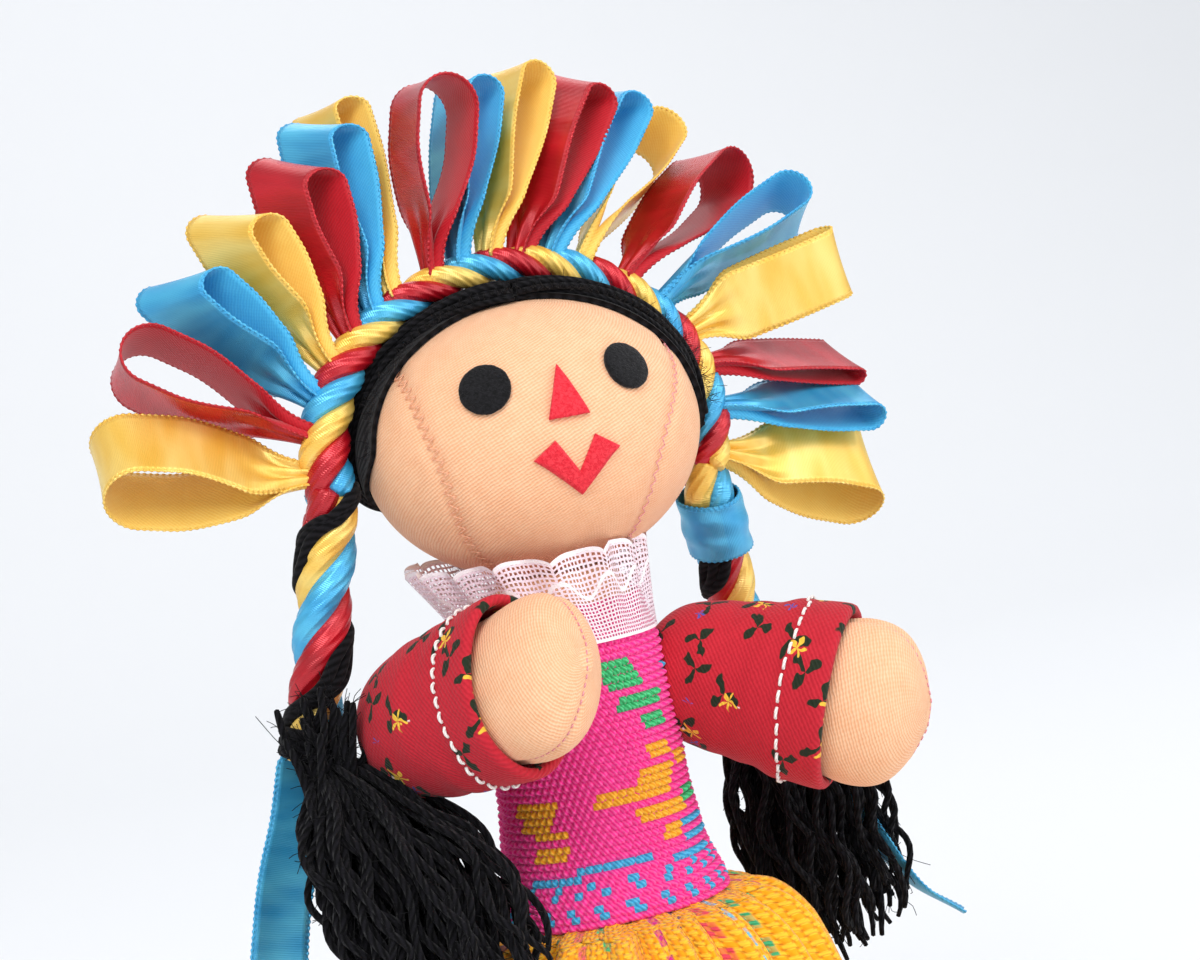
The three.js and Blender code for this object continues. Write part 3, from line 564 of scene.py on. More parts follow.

# %% [markdown]
# Ribbon satin comes in three colours. The outside is glossy, so its lights are broad and pale, and a paler
# shade painted in bands stands for them in its colour; its edges have a firmer, duller border. The inside of
# a loop shows the ribbon's matt twilled back.

# %% Materials: ribbon
def satin_material(name, shades):
    material, tree, shader, place = new_material(name)
    ribbon = use_group(tree, SATIN, {"Place": place})
    # painted highlight: the paler shade comes in bands with the creases; the darker border is the ribbon's
    # own edge
    tint = mixed(ribbon["Border"] * 0.35, mixed(ribbon["Shade"], *shades), shades[0])
    dress(tree, shader, tint, ribbon["Height"], 0.25, ribbon["Border"] * 0.3 + 0.27, 0.7, 0.0)
    shader.inputs["Metallic"].default_value = 0.3
    shader.inputs["Anisotropic"].default_value = 0.5
    return material


# the second shade of each colour is the paler one that the painted highlight uses
SATIN_SHADES = {
    "yellow": ("EEB83E", "FCDC7C"),
    "red": ("A60A1A", "D01A2A"),
    "blue": ("2A98D2", "5CC6EC"),
}
SATINS = {name: satin_material(f"satin_{name}", shades) for name, shades in SATIN_SHADES.items()}
BACKS = {name: twill_material(f"ribbon_back_{name}", shades, 0.5, 0.8, 0.04, 0.5)
         for name, shades in SATIN_SHADES.items()}

# %% [markdown]
# The head is a broad stuffed ball, wider than it is deep, made from a front panel and two sides. The
# seams between them pull the cloth in a little. It is made as a globe of rows and columns so that the
# cloth's coordinates run round it, and the seams are pressed in where they pass.

# %% Head
HEAD_HALF = vec(27.8, 22.5, 22.5)
HEAD_MIDDLE = vec(0, 0, 171)
HEAD_TIP_BACK = 4
SEAM_RIGHT = [(-21.3, 15), (-20.8, 11.5), (-20, 4.2), (-18.6, -3), (-17.2, -10.9), (-14.8, -16.2), (-11, -20)]
SEAM_LEFT = [(23, 12), (22.1, 5.4), (16.9, -4.5), (13.1, -13.7), (10, -20)]
SEAM_STITCH = 1.9


def in_head(points):
    """From the head's own frame, tipped back, to the doll's"""
    return turned(np.asarray(points, float), vec(1, 0, 0), -HEAD_TIP_BACK) + HEAD_MIDDLE


def head_normal(points):
    return unit(points / HEAD_HALF**2)


def on_head(direction, lift=0.0):
    """The point of the head's skin in a direction, in the head's own frame"""
    d = unit(np.asarray(direction, float))
    skin = d / np.linalg.norm(d / HEAD_HALF, axis=-1, keepdims=True)
    return skin + head_normal(skin) * lift


def on_face(x, z):
    """The point of the head's front at an x and a z"""
    y = -HEAD_HALF[1] * np.sqrt(np.maximum(1 - (x / HEAD_HALF[0])**2 - (z / HEAD_HALF[2])**2, 0.01))
    return np.stack([x, y, z], axis=-1)


def seam_line(points, count):
    """A seam on the front of the head, from its chosen x and z"""
    return on_face(*curve_through([(x, z) for x, z in points], count).T)


def build_head():
    shape = Shape()
    lon = np.radians(np.linspace(-180, 180, 160, endpoint=False))
    lat = np.radians(np.linspace(-89, 89, 110))
    a, b = np.meshgrid(lon, lat)
    globe = np.stack([np.cos(b) * np.sin(a), -np.cos(b) * np.cos(a), np.sin(b)], axis=2)
    skin = globe * HEAD_HALF
    press = 0
    for seam, depth in ((SEAM_RIGHT, 0.5), (SEAM_LEFT, 0.35)):
        near = np.min(np.linalg.norm(skin[:, :, None] - seam_line(seam, 60), axis=3), axis=2)
        press = press + depth * np.exp(-(near / 0.9)**2) - 0.12 * np.exp(-((near - 2.6) / 1.6)**2)
    skin = skin - unit(globe / HEAD_HALF) * press[..., None]
    u = np.radians(np.linspace(-180, 180, 161)) * 25
    uv = np.stack(np.meshgrid(u, lat * HEAD_HALF[2]), axis=2)
    add_form(shape, in_head(skin), [in_head(vec(0, 0, sign * HEAD_HALF[2])) for sign in (-1, 1)], uv)
    head = make_piece("head_skin", shape, [SKIN], "torso", ["head"])


def build_face_stitches():
    """Zig-zag thread over the two seams of the face"""
    shape = Shape()
    for seam, reach, thick, slot in ((SEAM_RIGHT, 1.7, 0.1, 0), (SEAM_LEFT, 1.0, 0.08, 1)):
        line = seam_line(seam, 400)
        line = even_steps(line, 2 * int(length_of(line) / SEAM_STITCH) + 1)
        side = np.cross(unit(np.gradient(line, axis=0)), head_normal(line))
        swing = np.where(np.arange(len(line)) % 2 == 0, 1, -1)[:, None]
        corners = on_head(line + side * swing * reach / 2, 0.05)
        for one, other in zip(corners[:-1], corners[1:]):
            middle = on_head((one + other) / 2, 0.12)
            add_tube(shape, in_head(curve_through([one, middle, other], 6)), thick, 5, slot)
    make_piece("face_seam_thread", shape, [SEAM_THREAD, PINK_THREAD], "torso")


build_head()
build_face_stitches()

# %% [markdown]
# Eyes, nose and mouth are cut from felt and lie glued on the face. Felt has a real thickness and soft,
# slightly ragged edges. Each one is a patch that is bent onto the head, with a rounded rim.

# %% Felt features
FELT_THICKNESS, GLUE = 0.8, 0.1
# rings of a patch, from its middle over the rim to its underside: share of the outline, share of the height
FELT_RINGS = [(0.25, 1), (0.6, 1), (0.9, 1), (0.975, 0.88), (1.0, 0.6), (0.995, 0.25), (0.985, 0.0)]
EYE_RADIUS = 4.1


def felt_patch(name, outline, middle, material):
    """A felt shape from its outline in the plane of the face, bent onto the head"""
    shape = Shape()
    centre = on_head(middle)
    out = head_normal(centre)
    across = unit(np.cross(UPRIGHT, out))
    up = np.cross(out, across)
    ragged = 1 + np.random.default_rng(len(outline)).normal(0, 0.008, len(outline))[:, None]
    rings = []
    for share, height in FELT_RINGS:
        flat = outline * share * (ragged if share > 0.8 else 1)
        place = centre + flat[:, :1] * across + flat[:, 1:] * up
        rings.append(in_head(on_head(place, GLUE + FELT_THICKNESS * height)))
    uv = np.array([closed_ring(outline * share) for share, _ in FELT_RINGS]) + 40
    tips = [in_head(on_head(centre, GLUE + lift)) for lift in (FELT_THICKNESS, 0)]
    add_form(shape, np.array(rings), tips, uv, vec(40, 40))
    make_piece(name, shape, [material], "torso", [name.removesuffix("_felt")])


def rounded_outline(corners, per_side, cut):
    """An outline of straight cuts, its corners eased by the scissors"""
    corners = np.array(corners, float)
    points = []
    for i, corner in enumerate(corners):
        before, after = corners[i - 1], corners[(i + 1) % len(corners)]
        inward = corner + unit(before - corner) * cut
        onward = corner + unit(after - corner) * cut
        for t in (0.0, 0.5, 1.0):
            points.append((1 - t)**2 * inward + 2 * t * (1 - t) * corner + t**2 * onward)
        leave = after + unit(corner - after) * cut
        for t in np.linspace(0, 1, per_side + 1, endpoint=False)[1:]:
            points.append(onward + (leave - onward) * t)
    return np.array(points)


eye_turn = round_turn(72)
disc = np.stack([np.cos(eye_turn), np.sin(eye_turn)], axis=1) * EYE_RADIUS
nose = rounded_outline([(-3.4, -4.35), (3.4, -4.35), (0, 4.35)], 10, 0.25)
felt_patch("eye_right_felt", disc, on_face(-10.2, 7.9), FELT_BLACK)
felt_patch("eye_left_felt", disc * vec(0.94, 0.98), on_face(12.7, 7.8), FELT_BLACK)
felt_patch("nose_felt", nose, on_face(1.3, 5.7), FELT_RED)

# %% [markdown]
# The mouth is a V with a notch, which a fan from its middle can't fill. It is one strip from corner to
# corner, between the upper and the lower cut, each with its bend at the chin.

# %% Mouth
MOUTH_X = 1.7
MOUTH_UPPER = [(-7, -4.2), (-3.2, -1.7), (0, -6.9), (3.2, -1.7), (7, -4.2)]
MOUTH_LOWER = [(-7, -4.2), (-5.1, -5.8), (0, -10.6), (5.1, -5.8), (7, -4.2)]


def build_mouth():
    shape = Shape()
    want, corners = np.linspace(0, 1, 61), (0, 0.22, 0.5, 0.78, 1.0)
    cuts = [np.array(cut) + vec(MOUTH_X, 0) for cut in (MOUTH_UPPER, MOUTH_LOWER)]
    top, bottom = (between(want, corners, cut) for cut in cuts)
    share = np.linspace(0, 1, 9)[:, None, None]
    flat = top[None] * (1 - share) + bottom[None] * share
    edge = np.minimum(share, 1 - share)[..., 0] * np.linalg.norm(top - bottom, axis=1)[None]
    height = GLUE + FELT_THICKNESS * (1 - np.exp(-(edge + 0.02) / 0.12))
    points = on_face(flat[..., 0], flat[..., 1])
    front, uv = add_grid(shape, in_head(on_head(points) + head_normal(points) * height[..., None]), flat + 60)
    back, _ = add_grid(shape, in_head(points * 1.002), uv, flip=True)
    shape.rims(front, back, uv, False)
    make_piece("mouth_felt", shape, [FELT_RED], "torso", ["mouth"])


build_mouth()

# %% [markdown]
# The hair is black yarn laid over the head from a parting in the middle down to each ear, where it runs
# into the side braids. Under the strands a dark shell closes the gaps. The strands lie in three layers.
# Each follows the shortest way over the head from its place on the parting to the ear, and sags and rises
# a little beside its neighbours, as laid yarn does. Loose fibres stand off along the hairline.

# %% Hair
HAIR_HALF = HEAD_HALF + 0.55
SHELL_OUT, SHELL_IN = HAIR_HALF + 0.5, HEAD_HALF + 0.2
HAIRLINE, NAPE = 70, 208
EAR_DROP = -0.1
# height of the layer, strands on each side, degrees that it stops short of the layer below
HAIR_LAYERS = [(0.8, 76, 0), (1.6, 74, 2), (2.45, 70, 4)]
STRAND_RADIUS, STRAY_RADIUS, STRAYS = 0.52, 0.045, 420


def build_hair():
    shape = Shape()
    turn = round_turn(96)
    start = np.radians(HAIRLINE + 2 + (126 - HAIRLINE) * smooth((1 - np.cos(turn)) / 2, 0.44, 0.8))
    angle = start + (math.pi - start) * np.linspace(0, 0.985, 26)[:, None]
    rows = np.stack([np.sin(angle) * np.sin(turn), -np.cos(angle), np.sin(angle) * np.cos(turn)], axis=2)
    index, uv = add_grid(shape, in_head(rows * SHELL_OUT), wrap=True)
    inside, _ = add_grid(shape, in_head(rows * SHELL_IN), uv, wrap=True, flip=True)
    shape.fan(index, uv, -1, in_head(vec(0, SHELL_OUT[1], 0)))
    shape.fan(inside, uv, -1, in_head(vec(0, SHELL_IN[1], 0)), flip=True)
    shape.bridge(index[:1], inside[:1], uv[:1])
    rng = np.random.default_rng(11)
    for side in (-1, 1):
        ear = unit(vec(side, 0.14, EAR_DROP))
        for lift, count, inset in HAIR_LAYERS:
            for k in range(count):
                phi = math.radians(HAIRLINE + 1 + inset + (NAPE - HAIRLINE - 3 - 2 * inset) * k / (count - 1))
                lay_strand(shape, vec(0.015 * side, -math.cos(phi), math.sin(phi)), ear, lift, rng)
    for _ in range(STRAYS):
        add_stray(shape, rng)
    make_piece("hair_laid_yarn", shape, [HAIR], "torso", ["hair_cap"], recalc=False)


def lay_strand(shape, root, ear, lift, rng):
    """One strand over the head from the parting to the ear"""
    steps = np.linspace(0, 0.97, 30)
    angle = math.acos(float(np.clip(np.dot(unit(root), ear), -1, 1)))
    way = np.sin((1 - steps) * angle)[:, None] * unit(root) + np.sin(steps * angle)[:, None] * ear
    way = way / math.sin(angle)
    rise = lift + np.interp(steps, np.linspace(0, 1, 5), rng.normal(0, 0.2, 5)) - 0.5 * np.exp(-steps * 9)
    sway = 0.03 * np.sin(steps * rng.uniform(4, 12) + rng.uniform(0, 6))
    path = unit(way + np.cross(way, ear) * sway[:, None]) * HAIR_HALF
    path = path + head_normal_of_hair(path) * rise[:, None]
    thick = STRAND_RADIUS * (1 - 0.3 * smooth(steps, 0.6, 1.0)) * rng.uniform(0.85, 1.2)
    add_tube(shape, in_head(path), thick, 6)


def head_normal_of_hair(points):
    return unit(points / HAIR_HALF**2)


def add_stray(shape, rng):
    """A loose fibre that stands off the hairline"""
    a, b = (math.radians(v) for v in (rng.uniform(0, TURN) * 57.3, rng.uniform(HAIRLINE - 2, HAIRLINE + 2)))
    root = unit(vec(math.sin(b) * math.sin(a), -math.cos(b), abs(math.sin(b) * math.cos(a))))
    root = root * (HAIR_HALF + 1.6)
    away = unit(root) + rng.normal(0, 0.7, 3) - vec(0, 0.9, 0)
    long = rng.uniform(0.6, 1.5)
    bend = rng.normal(0, 0.5, 3)
    path = np.array([root, root + away * long * 0.4 + bend * 0.3, root + away * long * 0.7 + bend])
    add_tube(shape, in_head(curve_through(path, 7)), STRAY_RADIUS, 3)


build_hair()

# %% [markdown]
# A rope of three ribbons crowns the hair and runs down into the braids. Each ribbon is gathered into a
# soft strand that winds round the other two. The strands press into each other, so that no deep grooves
# lie between them, and each has fine creases along it, as gathered satin does.

# %% Crown of twisted ribbon
CROWN_RADIUS, CROWN_RIGHT_RADIUS = 2.9, 3.9
CROWN_BACK, CROWN_YAW = 3, 10
CROWN_END_RIGHT, CROWN_END_LEFT = 4, 18
CROWN_LAY = 17
HAIR_OUTSIDE = HEAD_HALF + 2.85
crown_share = math.sqrt(1 - (CROWN_BACK / HAIR_OUTSIDE[1])**2)
CROWN_HALF = (HAIR_OUTSIDE[0] * crown_share + 0.3, HAIR_OUTSIDE[2] * crown_share + 0.3)
ROPE_COLOURS = ("yellow", "blue", "red")
# a strand's distance from the rope's middle and its own radius, as shares of the rope's radius
STRAND_OFF, STRAND_THICK = 0.47, 0.57


def crown_radius(degrees):
    return CROWN_RIGHT_RADIUS + (CROWN_RADIUS - CROWN_RIGHT_RADIUS) * float(smooth(degrees, 0, 70))


def crown_outward(degrees):
    a = math.radians(degrees)
    return turned(unit(vec(-math.cos(a) / CROWN_HALF[0], 0, math.sin(a) / CROWN_HALF[1])), UPRIGHT, CROWN_YAW)


def crown_point(degrees):
    """The middle of the crown's rope, by degrees from the doll's right ear, in the head's own frame"""
    a = math.radians(degrees)
    level = turned(vec(-CROWN_HALF[0] * math.cos(a), 0, CROWN_HALF[1] * math.sin(a)), UPRIGHT, CROWN_YAW)
    return level + vec(0, CROWN_BACK, 0) + crown_outward(degrees) * (crown_radius(degrees) + 0.15)


def gathered(turn):
    """The section of a gathered ribbon strand: round, with creases"""
    crease = 0.88 + 0.14 * np.abs(np.cos(5 * turn))**0.6
    return np.cos(turn) * crease, np.sin(turn) * crease


def add_rope(shape, path, radius, turns, phase):
    """Three strands wound round a line; radius may change along it"""
    at = np.linspace(0, 1, len(path))
    for k in range(3):
        outward = winding(path, TURN * (turns * at + phase + k / 3))
        middle = path + outward * (STRAND_OFF * radius)[:, None]
        add_tube(shape, middle, STRAND_THICK * radius, 36, k, gathered, outward)


def build_crown():
    shape = Shape()
    degrees = np.linspace(-CROWN_END_RIGHT - 2, 180 + CROWN_END_LEFT + 2, 220)
    path = in_head([crown_point(d) for d in degrees])
    radius = np.array([crown_radius(d) for d in degrees]) * 1.04
    add_rope(shape, path, radius, -length_of(path) / CROWN_LAY, 0.1)
    materials = [SATINS[name] for name in ROPE_COLOURS]
    make_piece("crown_twist", shape, materials, "torso", ["crown_braid"])


build_crown()

# %% [markdown]
# Nineteen loops of satin ribbon stand round the crown. A loop is one short length of ribbon: both ends are
# gathered into small pleats at the plait, and the middle springs round in an open bend. Its line goes out
# and back along one direction and opens at right angles to it. The ribbon is a thin sheet with a glossy
# outside and a matt inside, and a beaded cord stands for the woven edge.

# %% Ribbon loops
# colour, root along the crown, heading, length, opening, lean back, turn to the front, slant, skew of legs
LOOPS = [
    ("yellow", 0, 13, 31, 11.5, 0, -42, 10, -0.1),
    ("red", 11, 35, 30, 9.5, 4, 72, 0, 0.0),
    ("blue", 21, 53, 27, 5, 8, 48, -30, 0.5),
    ("yellow", 31, 70, 27, 5.5, 8, 50, -30, 0.5),
    ("red", 41, 86, 28, 5.5, 8, 52, -28, 0.6),
    ("blue", 50, 90, 32, 5, 15, 54, -26, 0.6),
    ("yellow", 57, 89, 37, 4.6, 27, 58, -22, 0.6),
    ("red", 71, 104, 30, 9.8, 0, 76, 0, 0.0),
    ("blue", 79, 110, 32, 5.5, 18, 72, -14, 0.2),
    ("yellow", 88, 116, 35.5, 6, 22, 62, -8, 0.2),
    ("red", 97, 126, 34.5, 5, 20, 50, -16, 0.5),
    ("blue", 106, 130, 35, 5, 24, 60, -14, 0.5),
    ("yellow", 116, 139, 36, 7.5, 34, 96, 0, 0.0),
    ("red", 130, 147, 33, 9, 28, 72, 0, 0.0),
    ("blue", 143, 156, 32, 7, 12, -66, 0, 0.0),
    ("yellow", 155, 167, 29, 5, 3, -14, 0, 0.0),
    ("red", 167, 189, 29, 2.6, 22, 60, 0, 0.0),
    ("blue", 181, 188, 27.5, 4.5, 12, 60, 0, 0.0),
    ("yellow", 195, 198, 29, 9, 18, 24, 14, 0.3),
]
RIBBON_WIDTH, RIBBON_PINCH, RIBBON_THICKNESS = 12, 4.0, 0.32
ROOT_SINK, ROOT_PLEATS, PLEAT_HEIGHT = 2.4, 2.5, 0.8
EDGE_CORD, BEAD_POINTS = 0.19, 5


def loop_line(length, opening, steps):
    """One loop in its own plane, out and back: two legs that part slowly, and a round end"""
    r = opening / 2
    leg = np.linspace(0, length - r, 60)
    part = 0.4 + (r - 0.4) * smooth(leg, 0, 0.8 * (length - r))
    bend = np.radians(np.linspace(90, -90, 60))[1:-1]
    out = np.stack([leg, part], axis=1)
    tip = np.stack([length - r + r * np.cos(bend), r * np.sin(bend)], axis=1)
    return even_steps(np.vstack([out, tip, out[::-1] * vec(1, -1)]), steps)


def loop_sheet(row, steps, columns):
    """The middle surface of one loop, rows along the ribbon and columns across it"""
    _, root, heading, length, opening, lean, turn, slant, skew = row
    out = crown_outward(root)
    start = crown_point(root) + out * (crown_radius(root) + 0.7)
    h, l, t, k = (math.radians(a) for a in (heading, lean, turn, slant))
    along = vec(-math.cos(h) * math.cos(l), math.sin(l), math.sin(h) * math.cos(l))
    in_plane = vec(math.sin(h), 0, math.cos(h))
    to_front = unit(np.cross(along, in_plane))
    to_front = -to_front if to_front[1] > 0 else to_front
    across = in_plane * math.cos(t) + to_front * math.sin(t)
    open_way = unit(np.cross(along, across)) + across * skew
    line = loop_line(length, opening, steps)
    out_by = line[:, 0]
    sink = out * (ROOT_SINK * np.maximum(1 - line[:, :1] / 6, 0)**2)
    path = start - sink + along * line[:, :1] + open_way * line[:, 1:]
    width = RIBBON_PINCH + (RIBBON_WIDTH - RIBBON_PINCH) * smooth(out_by, 0, 9)
    shear = math.tan(k) * smooth(out_by / length, 0.3, 1)
    face = unit(np.cross(unit(np.gradient(path, axis=0)), across))
    w = np.linspace(-0.5, 0.5, columns)
    gather = 1 - smooth(out_by, 1, 11)
    pleat = np.sin(w * TURN * ROOT_PLEATS) * PLEAT_HEIGHT
    lift = pleat[None] * gather[:, None] + (w**2 - 0.08)[None] * (1 - gather[:, None])
    return (path[:, None] + width[:, None, None] * w[None, :, None] * across
            + along * (shear * width)[:, None, None] * w[None, :, None] + face[:, None] * lift[..., None])


def add_cord(shape, edge):
    """The woven edge of a ribbon, a cord with a bead for each millimetre"""
    count = max(8, int(length_of(edge) * BEAD_POINTS))
    thick = EDGE_CORD * (1 + 0.5 * np.cos(np.arange(count) * TURN / BEAD_POINTS))
    add_tube(shape, even_steps(edge, count), thick, 5)


def add_ribbon(shape, grid):
    """A ribbon sheet with its two woven edges; gives back its length"""
    along = flat_places(grid)[:, 0, 1]
    uv = np.stack(np.meshgrid(np.linspace(0, RIBBON_WIDTH, grid.shape[1]), along), axis=2)[..., ::-1]
    add_sheet(shape, grid, RIBBON_THICKNESS, uv, slots=(1, 0))
    for column in (0, -1):
        add_cord(shape, grid[:, column])
    return float(along[-1])


for number, row in enumerate(LOOPS, 1):
    shape = Shape()
    name = row[0]
    length = add_ribbon(shape, in_head(loop_sheet(row, 100, 13)))
    loop = make_piece(f"loop_{number:02d}_{name}", shape, [SATINS[name], BACKS[name]], "torso",
                      [f"ribbon_loop_{number:02d}"])

# %% [markdown]
# From each end of the crown a braid of ribbon and yarn hangs to a tassel. The ribbons wind on in longer
# turns, with strands of black yarn in one groove between them, and a yarn tie closes the end.

# %% Side braids
BRAID_RADIUS, BRAID_LAY = 4.4, 26
BRAID_TOP = BRAID_RADIUS + 0.3
YARN_RADIUS = 1.05
BRAID_RIGHT = [(-0.6, 0, -BRAID_TOP - 0.4), (-2.8, -0.2, -12), (-6.2, -0.5, -25), (-10.2, -1, -41)]
BRAID_LEFT = [(-1, 2, -BRAID_TOP - 0.9), (0.5, 5, -14), (2.5, 9, -26), (3.5, 10, -39)]
BRAID_PATHS = {
    "right": in_head(crown_point(-CROWN_END_RIGHT)) + np.array(BRAID_RIGHT, float),
    "left": in_head(crown_point(180 + CROWN_END_LEFT)) + np.array(BRAID_LEFT, float),
}


def build_braid(side, phase, black_phase):
    shape = Shape()
    path = curve_through(BRAID_PATHS[side], 120)
    path = even_steps(np.vstack([path[0] + vec(0, 0, BRAID_TOP), path]), 130)
    at = np.linspace(0, 1, len(path))
    turns = -length_of(path) / BRAID_LAY
    add_rope(shape, path, BRAID_RADIUS * (0.9 + 0.1 * smooth(at, 0.0, 0.15)), turns, phase)
    for k in range(3):
        start = black_phase + 0.05 * k
        spin = TURN * (start + turns * at) + 0.4 * np.sin(at * 17 + start * 9)
        add_tube(shape, path + winding(path, spin) * (BRAID_RADIUS * 0.95), YARN_RADIUS, 10, 3)
    materials = [SATINS[c] for c in ROPE_COLOURS] + [HAIR]
    make_piece(f"braid_{side}_twist", shape, materials, f"braid_{side}", [f"braid_{side}"])


build_braid("right", 0.3, 0.13)
build_braid("left", 0.0, 0.5)

# %% [markdown]
# The left braid starts under a band of blue ribbon, wound once round. The lower end of each braid is
# bound with a few turns of yarn.

# %% Wrap and ties
WRAP_START, WRAP_LONG, WRAP_RADIUS, WRAP_THICKNESS = 0.6, 10.2, 5.25, 0.35
TIE_ABOVE, TIE_BELOW, TIE_TURNS, TIE_RADIUS = 4.6, 0.4, 3.4, 1.0


def along_braid(side, start, end, count):
    """Points of the braid's line between two distances from its top"""
    path = even_steps(curve_through(BRAID_PATHS[side], 200), 400)
    return between(np.linspace(start, end, count), distances(path), path)


def build_wrap():
    shape = Shape()
    path = along_braid("left", WRAP_START, WRAP_START + WRAP_LONG, 22)
    tangent, side, lift = frames_along(path)
    turn, share = round_turn(72), np.linspace(0, 1, len(path))[:, None]
    crease = 0.10 * np.cos(3 * turn + 8 * share) + 0.12 * np.sin(turn * 2 - 14 * share)
    radius = WRAP_RADIUS + crease + 0.25 * np.sin(math.pi * share)
    grid = rings_along(path, side, lift, np.cos(turn), np.sin(turn), radius[..., None])
    grid = grid + tangent[:, None] * 0.5 * np.sin(turn)[:, None]
    add_sheet(shape, grid, WRAP_THICKNESS, flat_places(grid, True), True, (1, 0))
    for row in (0, -1):
        add_cord(shape, closed_ring(grid[row]))
    wrap = make_piece("wrap_left_ribbon", shape, [SATINS["blue"], BACKS["blue"]], "braid_left",
                      ["braid_wrap_left"])


def build_tie(side):
    shape = Shape()
    whole = length_of(curve_through(BRAID_PATHS[side], 200))
    path = along_braid(side, whole - TIE_ABOVE, whole + TIE_BELOW, 90)
    spin = np.linspace(0, TURN * TIE_TURNS, len(path))
    add_tube(shape, path + winding(path, spin) * (BRAID_RADIUS + 0.35), TIE_RADIUS, 9)
    make_piece(f"tie_{side}_yarn", shape, [TASSEL_YARN], f"braid_{side}", [f"tassel_tie_{side}"])


build_wrap()
build_tie("right")
build_tie("left")

# %% [markdown]
# The tassels are bundles of cut yarn. Each strand leaves the tie, spreads into its own place in the bundle
# and hangs, a little wavy and each cut at its own length. Drawing the strands one by one gives the ragged
# outline that no solid has. The strands are set out by the golden angle, which fills a round evenly.

# %% Tassels
TASSEL = {
    "right": {"length": 45, "radius": 15, "lean": (13, -17), "strands": 150, "tuft": 30, "seed": 5},
    "left": {"length": 53, "radius": 14, "lean": (9, 3), "strands": 130, "tuft": 0, "seed": 8},
}
GOLDEN_ANGLE = 2.39996
YARN_ENDS, TASSEL_STRAND, FRAY_RADIUS = 9, 0.62, 0.07


def build_tassel(side):
    facts = TASSEL[side]
    rng = np.random.default_rng(facts["seed"])
    shape = Shape()
    end = BRAID_PATHS[side][-1] + vec(0, 0, -0.4)
    s = np.linspace(0, 1, 36)
    lean = 1 - (1 - s)**1.4
    for k in range(facts["strands"]):
        share = math.sqrt((k + 0.5) / facts["strands"])
        turn = k * GOLDEN_ANGLE + rng.uniform(-0.3, 0.3)
        long = facts["length"] * (rng.uniform(0.8, 1.0) - 0.16 * share**2)
        radius = (facts["radius"] - 0.9) * share * (0.2 + 0.8 * smooth(s, 0.0, 0.6) + 0.12 * s)
        wave = 1.25 * smooth(s, 0.1, 0.5)
        wobble = [wave * np.sin(s * rng.uniform(9, 24) + rng.uniform(0, 6)) for _ in range(3)]
        x = end[0] + radius * math.cos(turn) + facts["lean"][0] * lean + wobble[0]
        y = end[1] + radius * math.sin(turn) * 0.9 + facts["lean"][1] * lean + wobble[1]
        z = end[2] + 1.5 - (long + 1.5) * s + 3.5 * share * smooth(s, 0, 0.3) * (1 - s) + wobble[2] * 0.5
        add_cut_strand(shape, np.stack([x, y, z], axis=1), rng)
    for _ in range(facts["tuft"]):
        top = vec(rng.uniform(-4, 3), rng.uniform(-3, 1), rng.uniform(5, 14))
        root = end + vec(rng.uniform(-3, 6), rng.uniform(-7, -5.3), rng.uniform(-7, -1))
        middle = root + top * 0.5 + rng.normal(0, 0.8, 3)
        add_cut_strand(shape, curve_through([root, middle, root + top], 16), rng)
    make_piece(f"tassel_{side}_strands", shape, [TASSEL_YARN], f"braid_{side}",
               [f"tassel_{side}"], recalc=False)


def add_cut_strand(shape, path, rng):
    """A strand of yarn with frayed fibres along it"""
    s = np.linspace(0, 1, len(path))
    add_tube(shape, path, TASSEL_STRAND * (1 - 0.3 * smooth(s, 0.9, 1.0)), 6)
    for _ in range(YARN_ENDS):
        start = path[rng.integers(len(path) // 6, len(path))]
        away = unit(path[-1] - path[-4]) + rng.normal(0, 0.7, 3)
        tip = start + away * rng.uniform(1.0, 2.6)
        fray = [start, (start + tip) / 2 + rng.normal(0, 0.35, 3), tip]
        add_tube(shape, curve_through(fray, 5), FRAY_RADIUS, 3)


build_tassel("right")
build_tassel("left")

# %% [markdown]
# A tail of blue ribbon hangs beside each tassel. It is a flat strip that twists and curls slowly and is
# cut off slantwise.

# %% Ribbon tails
TAIL_OFF = 6.25
TAIL_RIGHT = [(0.6, TAIL_OFF, 3), (-3, TAIL_OFF + 0.6, -10), (-8, TAIL_OFF, -22), (-13, TAIL_OFF - 1, -41)]
TAIL_LEFT = [(TAIL_OFF, 0, 2), (11, 1, -14), (16.5, 2, -29), (23, 2, -42), (31, 2, -49)]
TAIL_WIDTH, TAIL_TOP_WIDTH, TAIL_CUT, CUT_ROWS = 10, 3, 4.0, 6


def build_tail(side, route, across):
    shape = Shape()
    path = curve_through([BRAID_PATHS[side][-1] + vec(*p) for p in route], 70)
    tangent = unit(np.gradient(path, axis=0))
    widthways = unit(across - tangent * (tangent @ across)[:, None])
    face = np.cross(tangent, widthways)
    w, s = np.linspace(-0.5, 0.5, 9), np.linspace(0, 1, len(path))
    width = TAIL_TOP_WIDTH + (TAIL_WIDTH - TAIL_TOP_WIDTH) * smooth(s, 0, 0.12)
    curl = np.sin(s * 7)[:, None] * w[None] + (w[None]**2 - 0.08) * 2.2
    spread = (widthways * width[:, None])[:, None] * w[None, :, None]
    grid = path[:, None] + spread + face[:, None] * curl[..., None]
    cut = np.linspace(0, 1, CUT_ROWS)[:, None] * (w + 0.5)[None]
    grid[-CUT_ROWS:] += cut[..., None] * tangent[-1] * TAIL_CUT
    length = add_ribbon(shape, grid)
    tail = make_piece(f"tail_{side}_ribbon", shape, [SATINS["blue"], BACKS["blue"]], f"braid_{side}",
                      [f"ribbon_tail_{side}"])


build_tail("right", TAIL_RIGHT, vec(1, 0.3, 0))
build_tail("left", TAIL_LEFT, vec(0, 1, 0))

# %% [markdown]
# The arms are stuffed tubes of the skin's twill with the hand in one piece. A seam runs round the hand,
# where the two halves are sewn together, and draws the cloth in. Each arm is made along its own line and
# then turned into its place on the shoulder.

